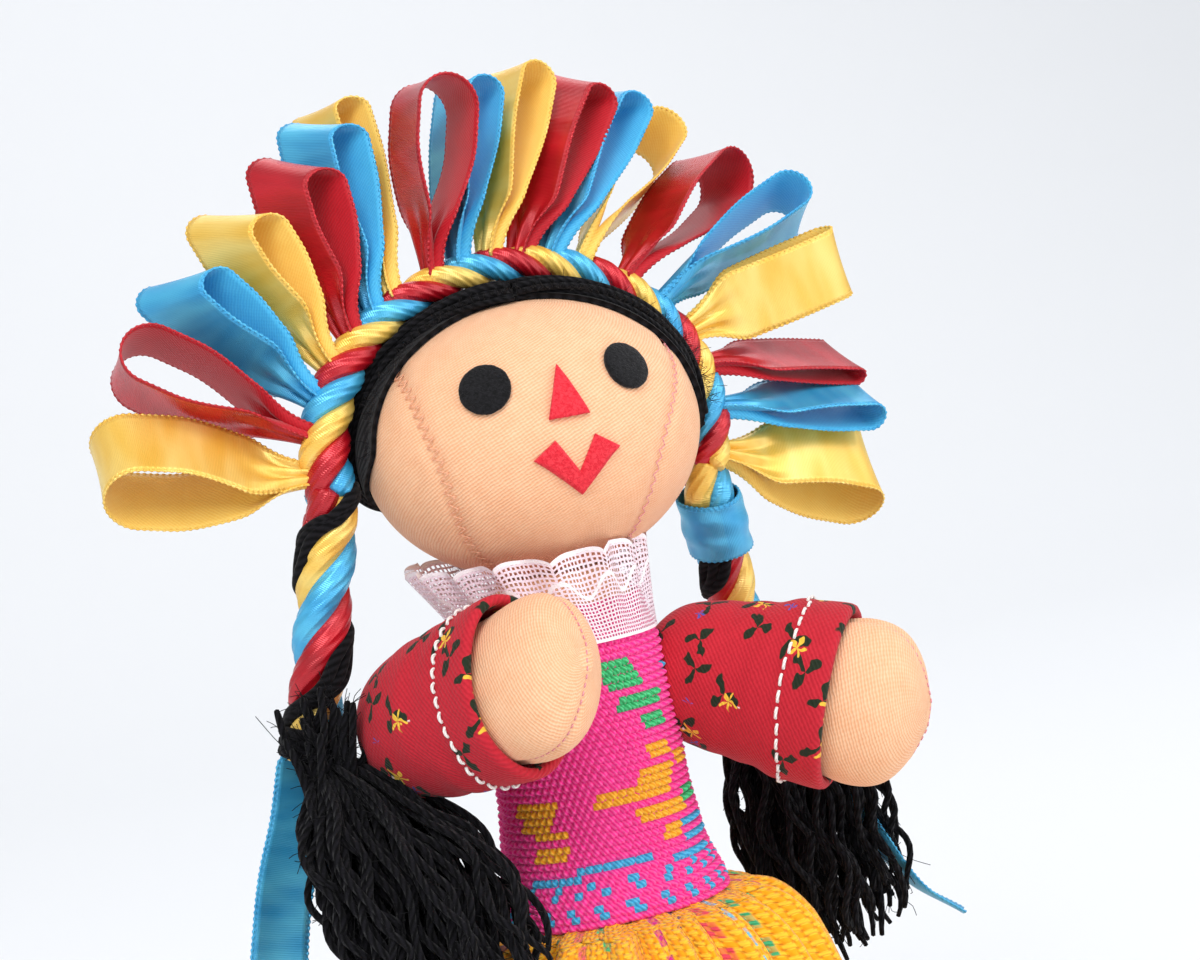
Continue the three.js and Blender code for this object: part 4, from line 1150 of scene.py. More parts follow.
# %% Arms
SHOULDER_HEIGHT = 128.5
ARMS = {
    "right": {"place": vec(-26, -9.5, SHOULDER_HEIGHT + 2), "out": -34, "rise": 14, "sign": -1, "roll": 24,
              "wide": 0.82, "tall": 1.04, "cuff": 14.1, "flatness": 0.88},
    "left": {"place": vec(23, -1, SHOULDER_HEIGHT - 1.5), "out": 57, "rise": -17, "sign": 1, "roll": 0,
             "wide": 1.0, "tall": 1.11, "cuff": 15.2, "flatness": 1.0},
}
ARM_LENGTH, ARM_RADIUS, ARM_FLATNESS, HAND_RADIUS = 24.5, 10.8, 0.88, 12
ARM_PROFILE = [
    (-ARM_RADIUS + 0.4, 2.6), (-ARM_RADIUS * 0.87, ARM_RADIUS * 0.5), (-ARM_RADIUS * 0.5, ARM_RADIUS * 0.87),
    (0, ARM_RADIUS), (ARM_LENGTH * 0.45, ARM_RADIUS), (ARM_LENGTH - HAND_RADIUS * 0.6, HAND_RADIUS * 0.95),
    (ARM_LENGTH, HAND_RADIUS), (ARM_LENGTH + HAND_RADIUS * 0.5, HAND_RADIUS * 0.87),
    (ARM_LENGTH + HAND_RADIUS * 0.8, HAND_RADIUS * 0.58),
    (ARM_LENGTH + HAND_RADIUS * 0.985, HAND_RADIUS * 0.16),
]
ARM_STITCHES, ARM_COLUMNS, SEAM_FROM = 44, 72, 30


def from_arm(side, points):
    """From an arm's own frame, Z along it, to the doll's"""
    facts = ARMS[side]
    o, r, roll = (math.radians(facts[key]) for key in ("out", "rise", "roll"))
    pointing = vec(facts["sign"] * math.sin(o) * math.cos(r), -math.cos(o) * math.cos(r), math.sin(r))
    hinge = unit(np.cross(UPRIGHT, pointing))
    lift = np.cross(pointing, hinge)
    c, s = math.cos(roll), math.sin(roll)
    hinge, lift = hinge * c - lift * s, lift * c + hinge * s
    p = np.asarray(points, float)
    return facts["place"] + p[..., :1] * hinge + p[..., 1:2] * lift + p[..., 2:] * pointing


def profile_rings(profile, rings, sides):
    """Rings of a round form along Z from its (along, radius) profile"""
    line = curve_through([(r, z) for z, r in profile], rings)
    turn = round_turn(sides)
    ring = np.stack([np.cos(turn), np.sin(turn), np.zeros(sides)], axis=1)
    return ring[None] * line[:, :1][:, None] + UPRIGHT * line[:, 1:][:, None], turn


def build_arm(side):
    shape = Shape()
    grid, turn = profile_rings(ARM_PROFILE, 56, ARM_COLUMNS)
    wide = np.linalg.norm(grid[:, :1, :2], axis=2)
    for seam_turn in (math.pi / 2, -math.pi / 2):
        near = angle_from(turn, seam_turn) * HAND_RADIUS
        pinch = 0.75 * np.exp(-(near / 1.2)**2)[None] * smooth(wide, 2, 8)
        grid = grid - from_axis(grid) * pinch[..., None]
    z = grid[:, :1, 2:]
    hand = 1 + (vec(ARMS[side]["wide"], ARMS[side]["tall"], 1) - 1) * smooth(z, 8, ARM_LENGTH)
    grid = grid * hand * (1 + vec(0, 0.09, 0) * smooth(z, 20, 31)) * vec(ARM_FLATNESS, 1, 1)
    index, _ = add_grid(shape, from_arm(side, grid), flat_places(grid, True), True)
    for row, past in ((0, -0.4), (-1, 0.15)):
        tip = grid[row].mean(axis=0) + UPRIGHT * past
        shape.fan(index, closed(grid)[..., :2], row, from_arm(side, tip), vec(0, 0))
    arm = make_piece(f"arm_{side}_skin", shape, [SKIN], f"arm_{side}", [f"arm_{side}"])
    one, other = grid[SEAM_FROM:, ARM_COLUMNS // 4], grid[SEAM_FROM:, 3 * ARM_COLUMNS // 4]
    seam = even_steps(np.vstack([one, grid[-1:].mean(axis=1), other[::-1]]), ARM_STITCHES * 4 + 1)
    thread = Shape()
    for k in range(ARM_STITCHES):
        stitch = seam[4 * k:4 * k + 3]
        stitch = stitch + unit(stitch - UPRIGHT * ARM_LENGTH * 0.7) * 0.12
        add_tube(thread, from_arm(side, stitch), 0.13, 6)
    make_piece(f"arm_{side}_seam", thread, [PINK_THREAD], f"arm_{side}")


for side in ARMS:
    build_arm(side)

# %% [markdown]
# The sleeves are printed red twill. The print of sprigs, small flowers and dots is scattered by a cell
# pattern: every cell of the cloth gets one motif at its own place and turn, and some cells stay empty.

# %% Node group: scattered print
def scattered(tree, place, spacing, size, petals, notch, share, seed):
    moved = vector("ADD", place, node(tree, "CombineXYZ", {0: seed, 1: seed})[0])[0]
    scale = node(tree, "Math", {0: 1.0, 1: spacing}, operation="DIVIDE")[0]
    small = vector("SCALE", moved, scale=scale)[0]
    facts = {"Vector": small, "Scale": 1.0, "Randomness": 0.8}
    _, cell_colour, cell_middle, *_ = node(tree, "TexVoronoi", facts, voronoi_dimensions="2D")
    from_middle = vector("SUBTRACT", small, cell_middle)[0]
    x, y = split(from_middle)
    cell_turn, cell_luck, _ = node(tree, "SeparateColor", {0: cell_colour})
    lobes = ((cell_turn * TURN + y.do("ARCTAN2", x)) * petals).do("COSINE")
    distance = vector("LENGTH", from_middle)[1] * spacing
    chosen = cell_luck.do("LESS_THAN", share)
    return {"Motif": soft_step(size * (lobes * notch + 1.0) - distance, -0.08, 0.12) * chosen,
            "Centre": soft_step(size * 0.38 - distance, -0.06, 0.1) * chosen}


SCATTER_INPUTS = {"Place": None, "Spacing": 9.0, "Size": 2.2, "Petals": 5.0, "Notch": 0.45, "Share": 0.6,
                  "Seed": 0.0}
SCATTER = make_group("scattered print", SCATTER_INPUTS, scattered)
# spacing, size, petals, notch, share of the cells, seed, ink and the ink of the middle
PRINTS = [
    (8.5, 1.6, 3.0, 0.95, 0.7, 3.0, "1E2A1A", None),
    (8.5, 1.35, 5.0, 0.45, 0.35, 1.9, "EDBE40", "7C3A10"),
    (16.0, 1.1, 4.0, 0.4, 0.5, 21.0, "4F57B0", "E9D9A0"),
    (9.0, 0.75, 2.0, 0.1, 0.8, 40.0, "FAE8E4", None),
]


def sleeve_material():
    material, tree, shader, place = new_material("sleeve_cloth")
    weave = use_group(tree, TWILL, {"Place": place, "Pitch": 0.6, "Slant": 0.9, "Wear": 0.35})
    # the twill's ribs are painted lighter and its grooves darker, as painted light and shade
    tint = mixed(weave["Shade"], "A41424", "D02A3A")
    bent = vector("ADD", place, vector("SCALE", noise(place, 0.5, 1)[1], scale=2.2)[0])[0]
    labels = ("Spacing", "Size", "Petals", "Notch", "Share", "Seed")
    for *numbers, ink, middle in PRINTS:
        spot = use_group(tree, SCATTER, {"Place": bent, **dict(zip(labels, numbers))})
        tint = mixed(spot["Motif"], tint, ink)
        if middle:
            tint = mixed(spot["Centre"], tint, middle)
    dress(tree, shader, tint, weave["Height"], 0.12, 0.8, 0.2, 0.08)
    return material


SLEEVE_CLOTH = sleeve_material()
SLEEVE_BACK = twill_material("sleeve_back", ("8E2030", "B64350"), 0.6, 0.9)

# %% [markdown]
# A sleeve is a sheet wrapped into a tube. It closes round the top of the arm, widens to the cuff, turns
# inward over a rounded fold and ends in a hem inside, which a row of white running stitches holds. Soft
# waves along it keep it from looking machined.

# %% Sleeves
SLEEVE_LENGTH, SLEEVE_THICKNESS, SLEEVE_CLOTH_THICKNESS = 21.5, 0.9, 0.7
SLEEVE_OUTSIDE_ROWS = 74
STITCHES_BACK, CUFF_STITCHES, CUFF_STITCH_RADIUS = 6.8, 34, 0.27


def build_sleeve(side, seed):
    rng = np.random.default_rng(seed)
    shape = Shape()
    cuff, flatness, long = ARMS[side]["cuff"], ARMS[side]["flatness"], SLEEVE_LENGTH
    bore = ARM_RADIUS + 0.3 + SLEEVE_THICKNESS
    profile = [
        (-bore * 0.985, bore * 0.17), (-bore * 0.82, bore * 0.57), (-bore * 0.5, bore * 0.87),
        (0, bore + 0.2), (long * 0.3, bore + 1.0), (long * 0.6, cuff - 0.7), (long * 0.85, cuff - 0.1),
        (long - 0.5, cuff),
        (long + 0.15, cuff - 0.5), (long - 0.4, cuff - 1.1), (long - 6, cuff - 1.5),
    ]
    grid, turn = profile_rings(profile, 96, 110)
    z = grid[:, :1, 2]
    waves = sum(rng.uniform(0.1, 0.3) * np.sin(k * turn + rng.uniform(0, 6))[None] * smooth(z, 2, 16)
                for k in (2, 3, 4))
    dents = 0.25 * np.sin(z * 0.9 + rng.uniform(0, 6)) * np.sin(2 * turn + z * 0.2)
    dents = dents * smooth(z, -2, 6) * (1 - smooth(z, 14, 19))
    grid = grid + from_axis(grid) * (waves + dents - 0.15)[..., None]
    narrowing = 1 - (1 - flatness) * smooth(z[..., None], 2, 18) * vec(1, 0, 0)
    grid = grid * narrowing * vec(ARM_FLATNESS + 0.04, 1, 1)
    uv = flat_places(grid, True)
    add_sheet(shape, from_arm(side, grid), SLEEVE_CLOTH_THICKNESS, uv, True, (0, 1))
    sleeve = make_piece(f"sleeve_{side}_cloth", shape, [SLEEVE_CLOTH, SLEEVE_BACK], f"arm_{side}",
                        [f"sleeve_{side}"])
    around, down = TURN * cuff, float(uv[-1, 0, 1])
    around * MM
    down * MM
    build_cuff_stitches(side, grid)


def build_cuff_stitches(side, grid):
    """White running stitches a little back from the cuff's fold"""
    shape = Shape()
    outside = grid[:SLEEVE_OUTSIDE_ROWS, 0, 2]
    ring = closed_ring(grid[int(np.argmin(np.abs(outside - (SLEEVE_LENGTH - STITCHES_BACK))))])
    ring = even_steps(ring + from_axis(ring) * 0.62, CUFF_STITCHES * 6 + 1)
    rng = np.random.default_rng(3)
    hump = np.array([-0.25, 0.08, 0.14, 0.08, -0.25])[:, None]
    for k in range(CUFF_STITCHES):
        piece = ring[6 * k:6 * k + 5]
        piece = piece + from_axis(piece) * hump + UPRIGHT * (0.35 * math.sin(k * 0.7) + rng.normal(0, 0.12))
        add_tube(shape, from_arm(side, curve_through(piece, 9)), CUFF_STITCH_RADIUS, 7)
    make_piece(f"cuff_stitch_{side}", shape, [WHITE_THREAD], f"arm_{side}")


build_sleeve("right", 21)
build_sleeve("left", 34)

# %% [markdown]
# The bodice is hand-woven cloth so coarse that its stitches can be counted. Threads this thick cast
# shadows, so the stitches are real: each one is a small bump of the mesh, brick-laid like the weave, and
# the stepped motifs are chosen stitch by stitch with a few rules.

# %% Bodice cloth
THREAD_SHADES = {
    "magenta": ("FA1E8C", "FF5EAA"),
    "orange": ("EE9A14", "FFC440"),
    "green": ("26A25A", "52D48C"),
    "blue": ("2C94C8", "56C2EA"),
}
BODICE_THREADS = [
    yarn_material(f"bodice_{name}", shades, 0.7, 1.0, 1.0, 0.12, 0.2, 0.85, 0.25)
    for name, shades in THREAD_SHADES.items()
]
THREAD_SLOTS = {name: i for i, name in enumerate(THREAD_SHADES)}
BODY_POWER = 2.3
TORSO_LEVELS = [
    (64, (10, 7)), (67, (14.5, 10.5)), (74, (17.5, 13)), (85, (17.5, 13)), (96, (16.5, 12.5)),
    (112.25, (14.5, 12)), (128.5, (14.5, 12)), (136.5, (13.5, 11.5)), (144, (11.75, 10.25)), (150, (9, 8.5)),
]


def torso_half(z):
    """Half the torso's width and depth at a level"""
    levels = np.array([level for level, _ in TORSO_LEVELS], float)
    return vec(*(np.interp(z, levels, [half[i] for _, half in TORSO_LEVELS]) for i in (0, 1)))


def level_ring(z, half, turn, power=2.0):
    """A level ring of points; a power over 2 squares it"""
    c, s = np.cos(turn), np.sin(turn)
    x = half[0] * np.sign(c) * np.abs(c)**(2 / power)
    y = half[1] * np.sign(s) * np.abs(s)**(2 / power)
    return np.stack([x, y, np.full_like(x, z)], axis=-1)


STITCH_COLUMNS, STITCH_ROWS, STITCH_POINTS = 74, 42, 4
BODICE_LOW, BODICE_HIGH, STITCH_RELIEF = 93.2, 144.0, 1.0
# colour, first and last column from the front's middle, first and last row from the hem
MOTIFS = [
    ("green", -1, 4, 32, 34), ("green", 1, 5, 30, 31), ("green", 2, 8, 27, 29), ("green", 5, 8, 24, 25),
    ("orange", -14, -8, 15, 17), ("orange", -13, -9, 13, 14), ("orange", -11, -7, 9, 12),
    ("orange", -2, 7, 15, 16), ("orange", 3, 8, 17, 19), ("orange", 5, 8, 20, 22),
    ("orange", 2, 9, 12, 13), ("orange", 5, 7, 9, 11),
    ("orange", 10, 13, 18, 19), ("green", 10, 14, 13, 14), ("blue", 6, 14, 10, 10), ("blue", 8, 15, 8, 8),
    ("blue", 5, 12, 6, 6), ("blue", -12, -6, 6, 6), ("blue", -5, 2, 7, 7), ("green", -16, -14, 20, 24),
    ("orange", -17, -13, 27, 28), ("blue", 12, 17, 30, 31),
]


def stitch_colour(column, row):
    """The colour of one stitch; the motifs of the front come again on the back"""
    if row in (1, 2, 4):
        return "blue" if (column + row) % 3 == 0 else "magenta"
    if row == 5:
        return "blue" if column % 4 == 0 else "magenta"
    half = STITCH_COLUMNS // 2
    across = (column - round(0.75 * STITCH_COLUMNS) + half // 2) % half - half // 2
    for name, first, last, bottom, top in MOTIFS:
        if first <= across <= last and bottom <= row <= top and (row - bottom) % 3 != 2:
            return name
    return "magenta"


def build_bodice():
    shape = Shape()
    columns, rows = STITCH_COLUMNS * STITCH_POINTS, STITCH_ROWS * STITCH_POINTS + 1
    grid = []
    for z in np.linspace(BODICE_LOW, BODICE_HIGH, rows):
        half = torso_half(z) + 1.0 + 1.6 * (1 - float(smooth(z, 94, 103)))
        grid.append(level_ring(z, half, round_turn(columns), BODY_POWER))
    grid = np.array(grid)
    outward = grid_normals(grid, True)
    outward = np.where((outward * grid * vec(1, 1, 0)).sum(axis=2, keepdims=True) < 0, -outward, outward)
    row_at = np.arange(rows)[:, None] / STITCH_POINTS
    brick = np.arange(columns)[None] / STITCH_POINTS + 0.5 * (np.floor(row_at) % 2)
    bump = np.abs(np.sin(math.pi * brick))**0.7 * np.abs(np.sin(math.pi * row_at))**0.6
    relief = (bump - 0.6) * STITCH_RELIEF + np.random.default_rng(2).normal(0, 0.05, bump.shape)
    chart = np.array([[THREAD_SLOTS[stitch_colour(c, r)] for c in range(STITCH_COLUMNS)]
                      for r in range(STITCH_ROWS)])
    slots = chart[row_at[:-1].astype(int), (brick[:-1] % STITCH_COLUMNS).astype(int)]
    uv = flat_places(grid, True)
    front, uv = add_grid(shape, grid + outward * relief[..., None], uv, True, slots)
    back, _ = add_grid(shape, grid - outward * 0.6, uv, True, flip=True)
    shape.rims(front, back, uv, True)
    bodice = make_piece("bodice_cloth", shape, BODICE_THREADS, "torso", ["bodice"])


build_bodice()

# %% [markdown]
# Under the clothes the torso is a plain stuffed body of the same twill. Only a little shows at the neck.

# %% Torso
def build_torso():
    shape = Shape()
    levels, turn = np.linspace(64.5, 149, 60), round_turn(72)
    grid = np.array([level_ring(z, torso_half(z), turn, BODY_POWER) for z in levels])
    add_form(shape, grid, (vec(0, 0, 64), vec(0, 0, 149.5)))
    torso = make_piece("torso_skin", shape, [SKIN], "torso", ["torso"])


build_torso()

# %% [markdown]
# The collar is machine lace, gathered along the neckline and standing out round the chin in scallops.
# Its net is far too fine for threads, so the sheet has real scallops and waves, and a mask of cells cuts
# the net's holes out of it. Denser figures follow each scallop.

# %% Lace material
COLLAR_SCALLOPS = 16
LACE_CUT, LACE_HIGH = TURN * 19, 14


def lace_material():
    material, tree, shader, place = new_material("lace")
    x, y = split(place)
    net = node(tree, "TexVoronoi", {"Vector": place, "Scale": 1.55, "Randomness": 0.2},
               feature="DISTANCE_TO_EDGE", voronoi_dimensions="2D")[0]
    rise = (x * (TURN / (LACE_CUT / COLLAR_SCALLOPS))).do("COSINE") * 1.3 + 9.0
    arch = soft_step(abs(y - rise), 0.5, 0.2)
    seam, border = soft_step(y, 0.7, 0.4), soft_step(y, 13.3, 13.5)
    solid = arch.do("MAXIMUM", seam.do("MAXIMUM", border))
    set_input(tree, shader.inputs["Alpha"], soft_step(net, 0.25, 0.18).do("MAXIMUM", solid))
    dress(tree, shader, mixed(solid, "FAE8F2", "FFFAFC"), noise(place, 6, 3)[0], 0.15, 0.7, 0.5, 0.2)
    return material


LACE = lace_material()

# %% Collar
COLLAR_SEAM, COLLAR_RISE, COLLAR_FLARE, COLLAR_SHIFT = 137.5, 14.2, 4.3, -4.6


def build_collar():
    shape = Shape()
    columns, rows = 480, 30
    turn = round_turn(columns)
    seam = level_ring(COLLAR_SEAM, torso_half(COLLAR_SEAM) + 1.6, turn, BODY_POWER)
    share = np.linspace(0, 1, rows)[:, None]
    ripple = np.cos(COLLAR_SCALLOPS * turn) * share + 0.5 * np.cos(7 * turn + 1.2) * share
    scallop = 2.0 * np.abs(np.sin(COLLAR_SCALLOPS / 2 * turn))**0.8 * smooth(share, 0.6, 1)
    grid = seam + from_axis(seam) * (COLLAR_FLARE * share**1.1 + 0.9 * ripple)[..., None]
    grid = grid + vec(COLLAR_SHIFT, 0, COLLAR_RISE) * share[..., None]
    grid = grid + UPRIGHT * (0.5 * ripple + scallop)[..., None]
    uv = np.stack(np.meshgrid(np.linspace(0, LACE_CUT, columns + 1), np.linspace(0, LACE_HIGH, rows)), axis=2)
    add_grid(shape, grid, uv, True)
    collar = make_piece("collar_net", shape, [LACE], "torso", ["collar_lace"], recalc=False)


build_collar()

# %% [markdown]
# The skirt is a straight length of hand-woven cloth gathered into the waist. It falls in soft pleats that
# open towards the hem. The stripes are rows of coloured stitches down the cloth, so they follow each
# pleat by themselves once the cloth has its own coordinates. Near the waist, where the cloth is drawn
# together, the stripes are wider on the flat cloth, so that they still show.

# %% Skirt cloth
STRIPES = ["F06A6A", "4CC27A", "F5A30A", "D8218A", "27368F", "E8465A", "7CC4E0", "3DB07A"]
STRIPE_SPACING, DASH_LENGTH = 9.2, 5.2


def stripe_colour(tree, which):
    """The colour of a stripe by its number, in turn"""
    ramp = tree.nodes.new("ShaderNodeValToRGB")
    set_input(tree, ramp.inputs[0], (which * (1 / len(STRIPES))).do("FRACT"))
    ramp.color_ramp.interpolation = "CONSTANT"
    while len(ramp.color_ramp.elements) < len(STRIPES):
        ramp.color_ramp.elements.new(0.99)
    for i, (element, code) in enumerate(zip(ramp.color_ramp.elements, STRIPES)):
        element.position = max(0.0, (i - 0.02) / len(STRIPES))
        element.color = colour(code)
    return Value(tree, ramp.outputs[0])


def skirt_material():
    material, tree, shader, place = new_material("skirt_cloth")
    x, y = split(place)
    weave = use_group(tree, WEAVE, {"Place": place, "Warp": 1.8, "Weft": 1.05})
    ground = mixed(weave["Weft on top"], "FFA60C", "FFC430")
    count = x / STRIPE_SPACING
    which = count.do("FLOOR")
    from_line = abs(count.do("FRACT") - 0.5) / (soft_step(y, 34, 4) * 1.3 + 1.0)
    dash = abs((which * 0.37 + y / DASH_LENGTH).do("FRACT") - 0.5)
    inlay = soft_step(from_line, 0.1, 0.07) * soft_step(dash, 0.36, 0.3)
    inlay = inlay * (weave["Weft on top"] * 0.45 + 0.55)
    # painted shade: the gaps between the threads are mixed towards a darker orange
    tint = mixed(weave["Painted gap shade"] * 0.6, mixed(inlay, ground, stripe_colour(tree, which)), "D47A08")
    dress(tree, shader, tint, weave["Height"], 0.3, 0.85, 0.25, 0.2)
    return material


SKIRT_CLOTH = skirt_material()

# %% Skirt
SKIRT_PLEATS, SKIRT_THICKNESS, SKIRT_ROWS = 18, 0.8, 110
# level, half width and half depth there, and how deep the pleats are
SKIRT_LEVELS = [
    (98, (17.0, 13.0), 0), (93.5, (17.1, 13.1), 0.25), (91, (24.5, 20.3), 0.75), (84, (30, 26), 1.05),
    (68, (36.3, 32.3), 1), (52, (40.5, 36.5), 1), (20, (47, 43), 1.15),
]


def skirt_rings(turn, extra=0.0):
    """Rings of the skirt from the waist to the hem, at the given angles round it"""
    z_known, pleat_known = ([level[i] for level in SKIRT_LEVELS[::-1]] for i in (0, 2))
    grid = []
    for a, b, z in curve_through([(*half, z) for z, half, _ in SKIRT_LEVELS], SKIRT_ROWS):
        pleat = np.interp(z, z_known, pleat_known)
        fold = 1.9 * pleat * np.cos(SKIRT_PLEATS * turn + 0.5 * np.sin(3 * turn))
        fold = fold + 0.7 * pleat * np.cos(7 * turn + 0.6)
        gather = np.cos(2 * SKIRT_PLEATS * turn + np.sin(5 * turn))
        gather = gather * smooth(z, 68, 86) * (1 - smooth(z, 90, 95))
        ring = level_ring(z, (a, b), turn, BODY_POWER if z > 92 else 2.0)
        grid.append(ring + from_axis(ring) * (fold + 1.1 * gather + extra)[:, None])
    return np.array(grid)


def build_skirt():
    shape = Shape()
    turn = round_turn(540)
    grid = skirt_rings(turn)
    hem_round = length_of(closed_ring(grid[-1]))
    down = flat_places(grid, True)[:, 0, 1]
    uv = np.stack(np.meshgrid(np.linspace(0, hem_round, len(turn) + 1), down), axis=2)
    add_sheet(shape, grid, SKIRT_THICKNESS, uv, True)
    skirt = make_piece("skirt_cloth", shape, [SKIRT_CLOTH], None, ["skirt"])
    return skirt, hem_round, float(down[-1])


skirt, skirt_round, skirt_drop = build_skirt()
print(f"skirt: {skirt_round:.0f} mm round the hem and {skirt_drop:.0f} mm long")

# %% [markdown]
# A narrow red binding closes the edge of the skirt's cloth, with a yellow line of thread down its middle.
# It lies on the outside of the skirt and follows its pleats.

# %% Binding
BINDING_RED = twill_material("binding_red", ("8E0F1C", "BE2030"), 0.7, 0.4)
BINDING_LINE = yarn_material("binding_line", ("C98A1A", "F4C64A"), 1.0, 1.2)
BINDING_TURN, BINDING_HALF, BINDING_FROM = 10, 1.6 / 42, 8


def build_binding():
    shape = Shape()
    turn = math.radians(BINDING_TURN) + np.linspace(-1, 1, 7) * BINDING_HALF
    grid = skirt_rings(turn, 1.0)[BINDING_FROM:]
    add_sheet(shape, grid, 0.5)
    add_tube(shape, grid[:, 5] + from_axis(grid[:, 5]) * 0.3, 0.3, 6, 1)
    return make_piece("skirt_binding_strip", shape, [BINDING_RED, BINDING_LINE], None,
                      ["skirt_binding"])


binding = build_binding()
for cloth in (skirt, binding):
    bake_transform(cloth)

# %% [markdown]
# The legs hang under the skirt and stand in felt slippers. They are stuffed tubes as the arms are, and
# the slippers are rounded felt uppers, stitched to thin soles.

# %% Legs, slippers and soles
LEG_RADIUS, ANKLE_RADIUS, LEG_SPACING, HIP_FORWARD = 8.5, 6, 19, 4
SHOE_LENGTH, SHOE_WIDTH, HEEL_BACK = 30, 17, 9
SHOE_MIDDLE = SHOE_LENGTH / 2 - HEEL_BACK
# (level, radius) of the leg, (level, share of the shoe's size, shift back) and (level, share) of the sole
LEG_PROFILE = [(9.1, 3.0), (9.6, ANKLE_RADIUS - 0.8), (13, ANKLE_RADIUS), (33, 7.2), (51, 8.2),
               (74, LEG_RADIUS), (78.3, 7.3), (81.3, 4.2), (82.3, 1.0)]
SHOE_LEVELS = [(2.3, 0.93, 0), (3.4, 0.985, 0), (5, 1.0, 0), (7.5, 0.96, 0.4), (10, 0.82, 1.8),
               (11.6, 0.66, 3.0), (12, 0.56, 3.4)]
SOLE_LEVELS = [(0.0, 0.955), (0.25, 0.985), (0.8, 1.0), (1.5, 0.995), (2.0, 0.97)]


def build_leg(side, place):
    shape = Shape()
    grid, turn = profile_rings(LEG_PROFILE, 70, 60)
    pinch = 0.5 * np.exp(-(angle_from(turn, -math.pi / 2) * 7)**2)
    grid = grid - from_axis(grid) * pinch[None, :, None]
    add_form(shape, grid + place, (place + vec(0, 0, 9.1), place + vec(0, 0, 82.4)), flat_places(grid, True))
    leg = make_piece(f"leg_{side}_skin", shape, [SKIN], "legs", [f"leg_{side}"])


def shoe_ring(z, share, back, power, place):
    half = (SHOE_WIDTH / 2 * share, SHOE_LENGTH / 2 * share)
    return level_ring(z, half, round_turn(90), power) + vec(0, back - SHOE_MIDDLE, 0) + place


def build_shoe(side, place):
    shape = Shape()
    knots = curve_through([(share, back, z) for z, share, back in SHOE_LEVELS], 34)
    grid = np.array([shoe_ring(z, share, back, 2.3, place) for share, back, z in knots])
    index, uv = add_grid(shape, grid, wrap=True)
    shape.fan(index, uv, 0, grid[0].mean(axis=0))
    throat = grid[-1].mean(axis=0) - vec(0, 0, 2.2)
    inner = grid[-1] * 0.9 + (throat + vec(0, 0, 1.2)) * 0.1 - vec(0, 0, 0.8)
    lip, _ = add_grid(shape, np.array([inner, throat + (inner - throat) * 0.3]), wrap=True)
    shape.bridge(index[-1:], lip[:1], uv[-1:])
    shape.fan(lip, uv, -1, throat)
    make_piece(f"shoe_{side}_felt", shape, [FELT_BLACK], "legs", [f"shoe_{side}"])


def build_sole(side, place):
    shape = Shape()
    grid = np.array([shoe_ring(z, share, 0, 2.4, place) for z, share in SOLE_LEVELS])
    add_form(shape, grid, (grid[0].mean(axis=0), grid[-1].mean(axis=0)))
    make_piece(f"sole_{side}_felt", shape, [FELT_BLACK], "legs", [f"sole_{side}"])


for side, sign in (("right", -1), ("left", 1)):
    place = vec(sign * LEG_SPACING / 2, -HIP_FORWARD, 0)
    build_leg(side, place)
    build_shoe(side, place)
    build_sole(side, place)

# %% [markdown]
# The doll stands on a plain pale floor that curves up into a backdrop, so that no edge shows behind it.
# The floor is white by its own colour, and only its shadow tells where the doll stands.

# %% Stage
STAGE_HALF, STAGE_BACK, STAGE_RISE, STAGE_BEND, STAGE_FRONT = 3.0, 1.6, 3.0, 0.8, -3.0


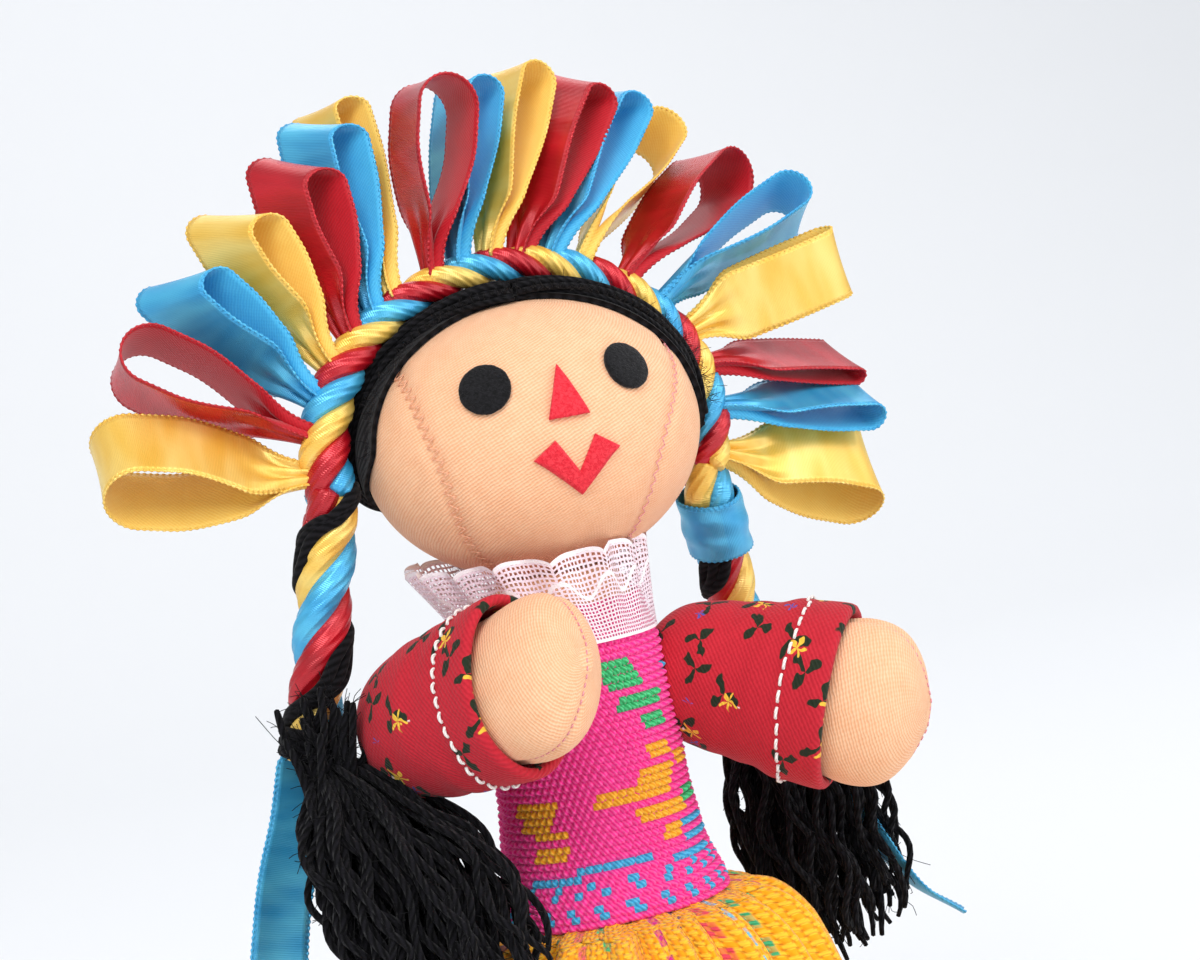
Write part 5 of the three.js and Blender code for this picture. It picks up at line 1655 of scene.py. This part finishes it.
def build_stage():
    material, _, shader, _ = new_material("studio_white")
    shader.inputs["Base Color"].default_value = colour("EEEFF1")
    shader.inputs["Roughness"].default_value = 0.9
    shader.inputs["Specular IOR Level"].default_value = 0.1
    turn = np.radians(np.linspace(0, 90, 13))
    flat_end = STAGE_BACK - STAGE_BEND
    bend = [(flat_end + STAGE_BEND * math.sin(a), STAGE_BEND * (1 - math.cos(a))) for a in turn]
    line = [(STAGE_FRONT, 0.0), *bend, (STAGE_BACK, STAGE_RISE)]
    points = [(x, y, z) for y, z in line for x in (-STAGE_HALF, STAGE_HALF)]
    faces = [(2 * i, 2 * i + 1, 2 * i + 3, 2 * i + 2) for i in range(len(line) - 1)]
    mesh = bpy.data.meshes.new("studio_sweep")
    mesh.from_pydata(points, [], faces)
    mesh.materials.append(material)
    mesh.polygons.foreach_set("use_smooth", [True] * len(faces))
    new_object("studio_sweep", mesh)


build_stage()

# %% [markdown]
# The camera stands close, a little to the doll's right and above it, and is rolled so that the doll
# leans as in the photograph. Soft light comes from a bright sky and one large window-like lamp.

# %% Camera and light
VIEW_AZIMUTH, VIEW_ELEVATION, VIEW_ROLL = -14, 4, -9.8
VIEW_DISTANCE, VIEW_AIM = 0.405, Vector(((10 + DOLL_X) * MM, 0, 0.162))
FOCAL, FRAME_WIDTH = 2480, 1200
# name, place, size and power
LAMPS = [
    ("window", (-0.4, -1.0, 1.3), 1.0, 17),
    ("fill", (1.1, -0.9, 0.75), 1.3, 11),
    ("rim", (0.3, 1.0, 1.3), 1.0, 5),
]


def build_camera():
    az, el, roll = (math.radians(a) for a in (VIEW_AZIMUTH, VIEW_ELEVATION, VIEW_ROLL))
    back = Vector((math.sin(az) * math.cos(el), -math.cos(az) * math.cos(el), math.sin(el)))
    right = Vector((math.cos(az), math.sin(az), 0))
    up = back.cross(right)
    right, up = right * math.cos(roll) + up * math.sin(roll), up * math.cos(roll) - right * math.sin(roll)
    data = bpy.data.cameras.new("camera")
    data.sensor_fit = "HORIZONTAL"
    data.sensor_width = 36
    data.lens = FOCAL / FRAME_WIDTH * data.sensor_width
    camera = new_object("camera", data)
    turn = Matrix((right, up, back)).transposed()
    camera.matrix_world = Matrix.Translation(VIEW_AIM + back * VIEW_DISTANCE) @ turn.to_4x4()
    bpy.context.scene.camera = camera


def build_lights():
    for name, place, size, power in LAMPS:
        data = bpy.data.lights.new(name, "AREA")
        data.size = size
        data.energy = power
        lamp = new_object(name, data)
        lamp.location = place
        lamp.rotation_euler = (Vector((0, 0, 0.14)) - Vector(place)).to_track_quat("-Z", "Y").to_euler()
    world = bpy.data.worlds.new("sky")
    world.use_nodes = True
    background = world.node_tree.nodes["Background"]
    background.inputs[0].default_value = (0.93, 0.96, 1.0, 1)
    background.inputs[1].default_value = 0.55
    bpy.context.scene.world = world


build_camera()
build_lights()
bpy.context.scene.view_settings.view_transform = "Standard"
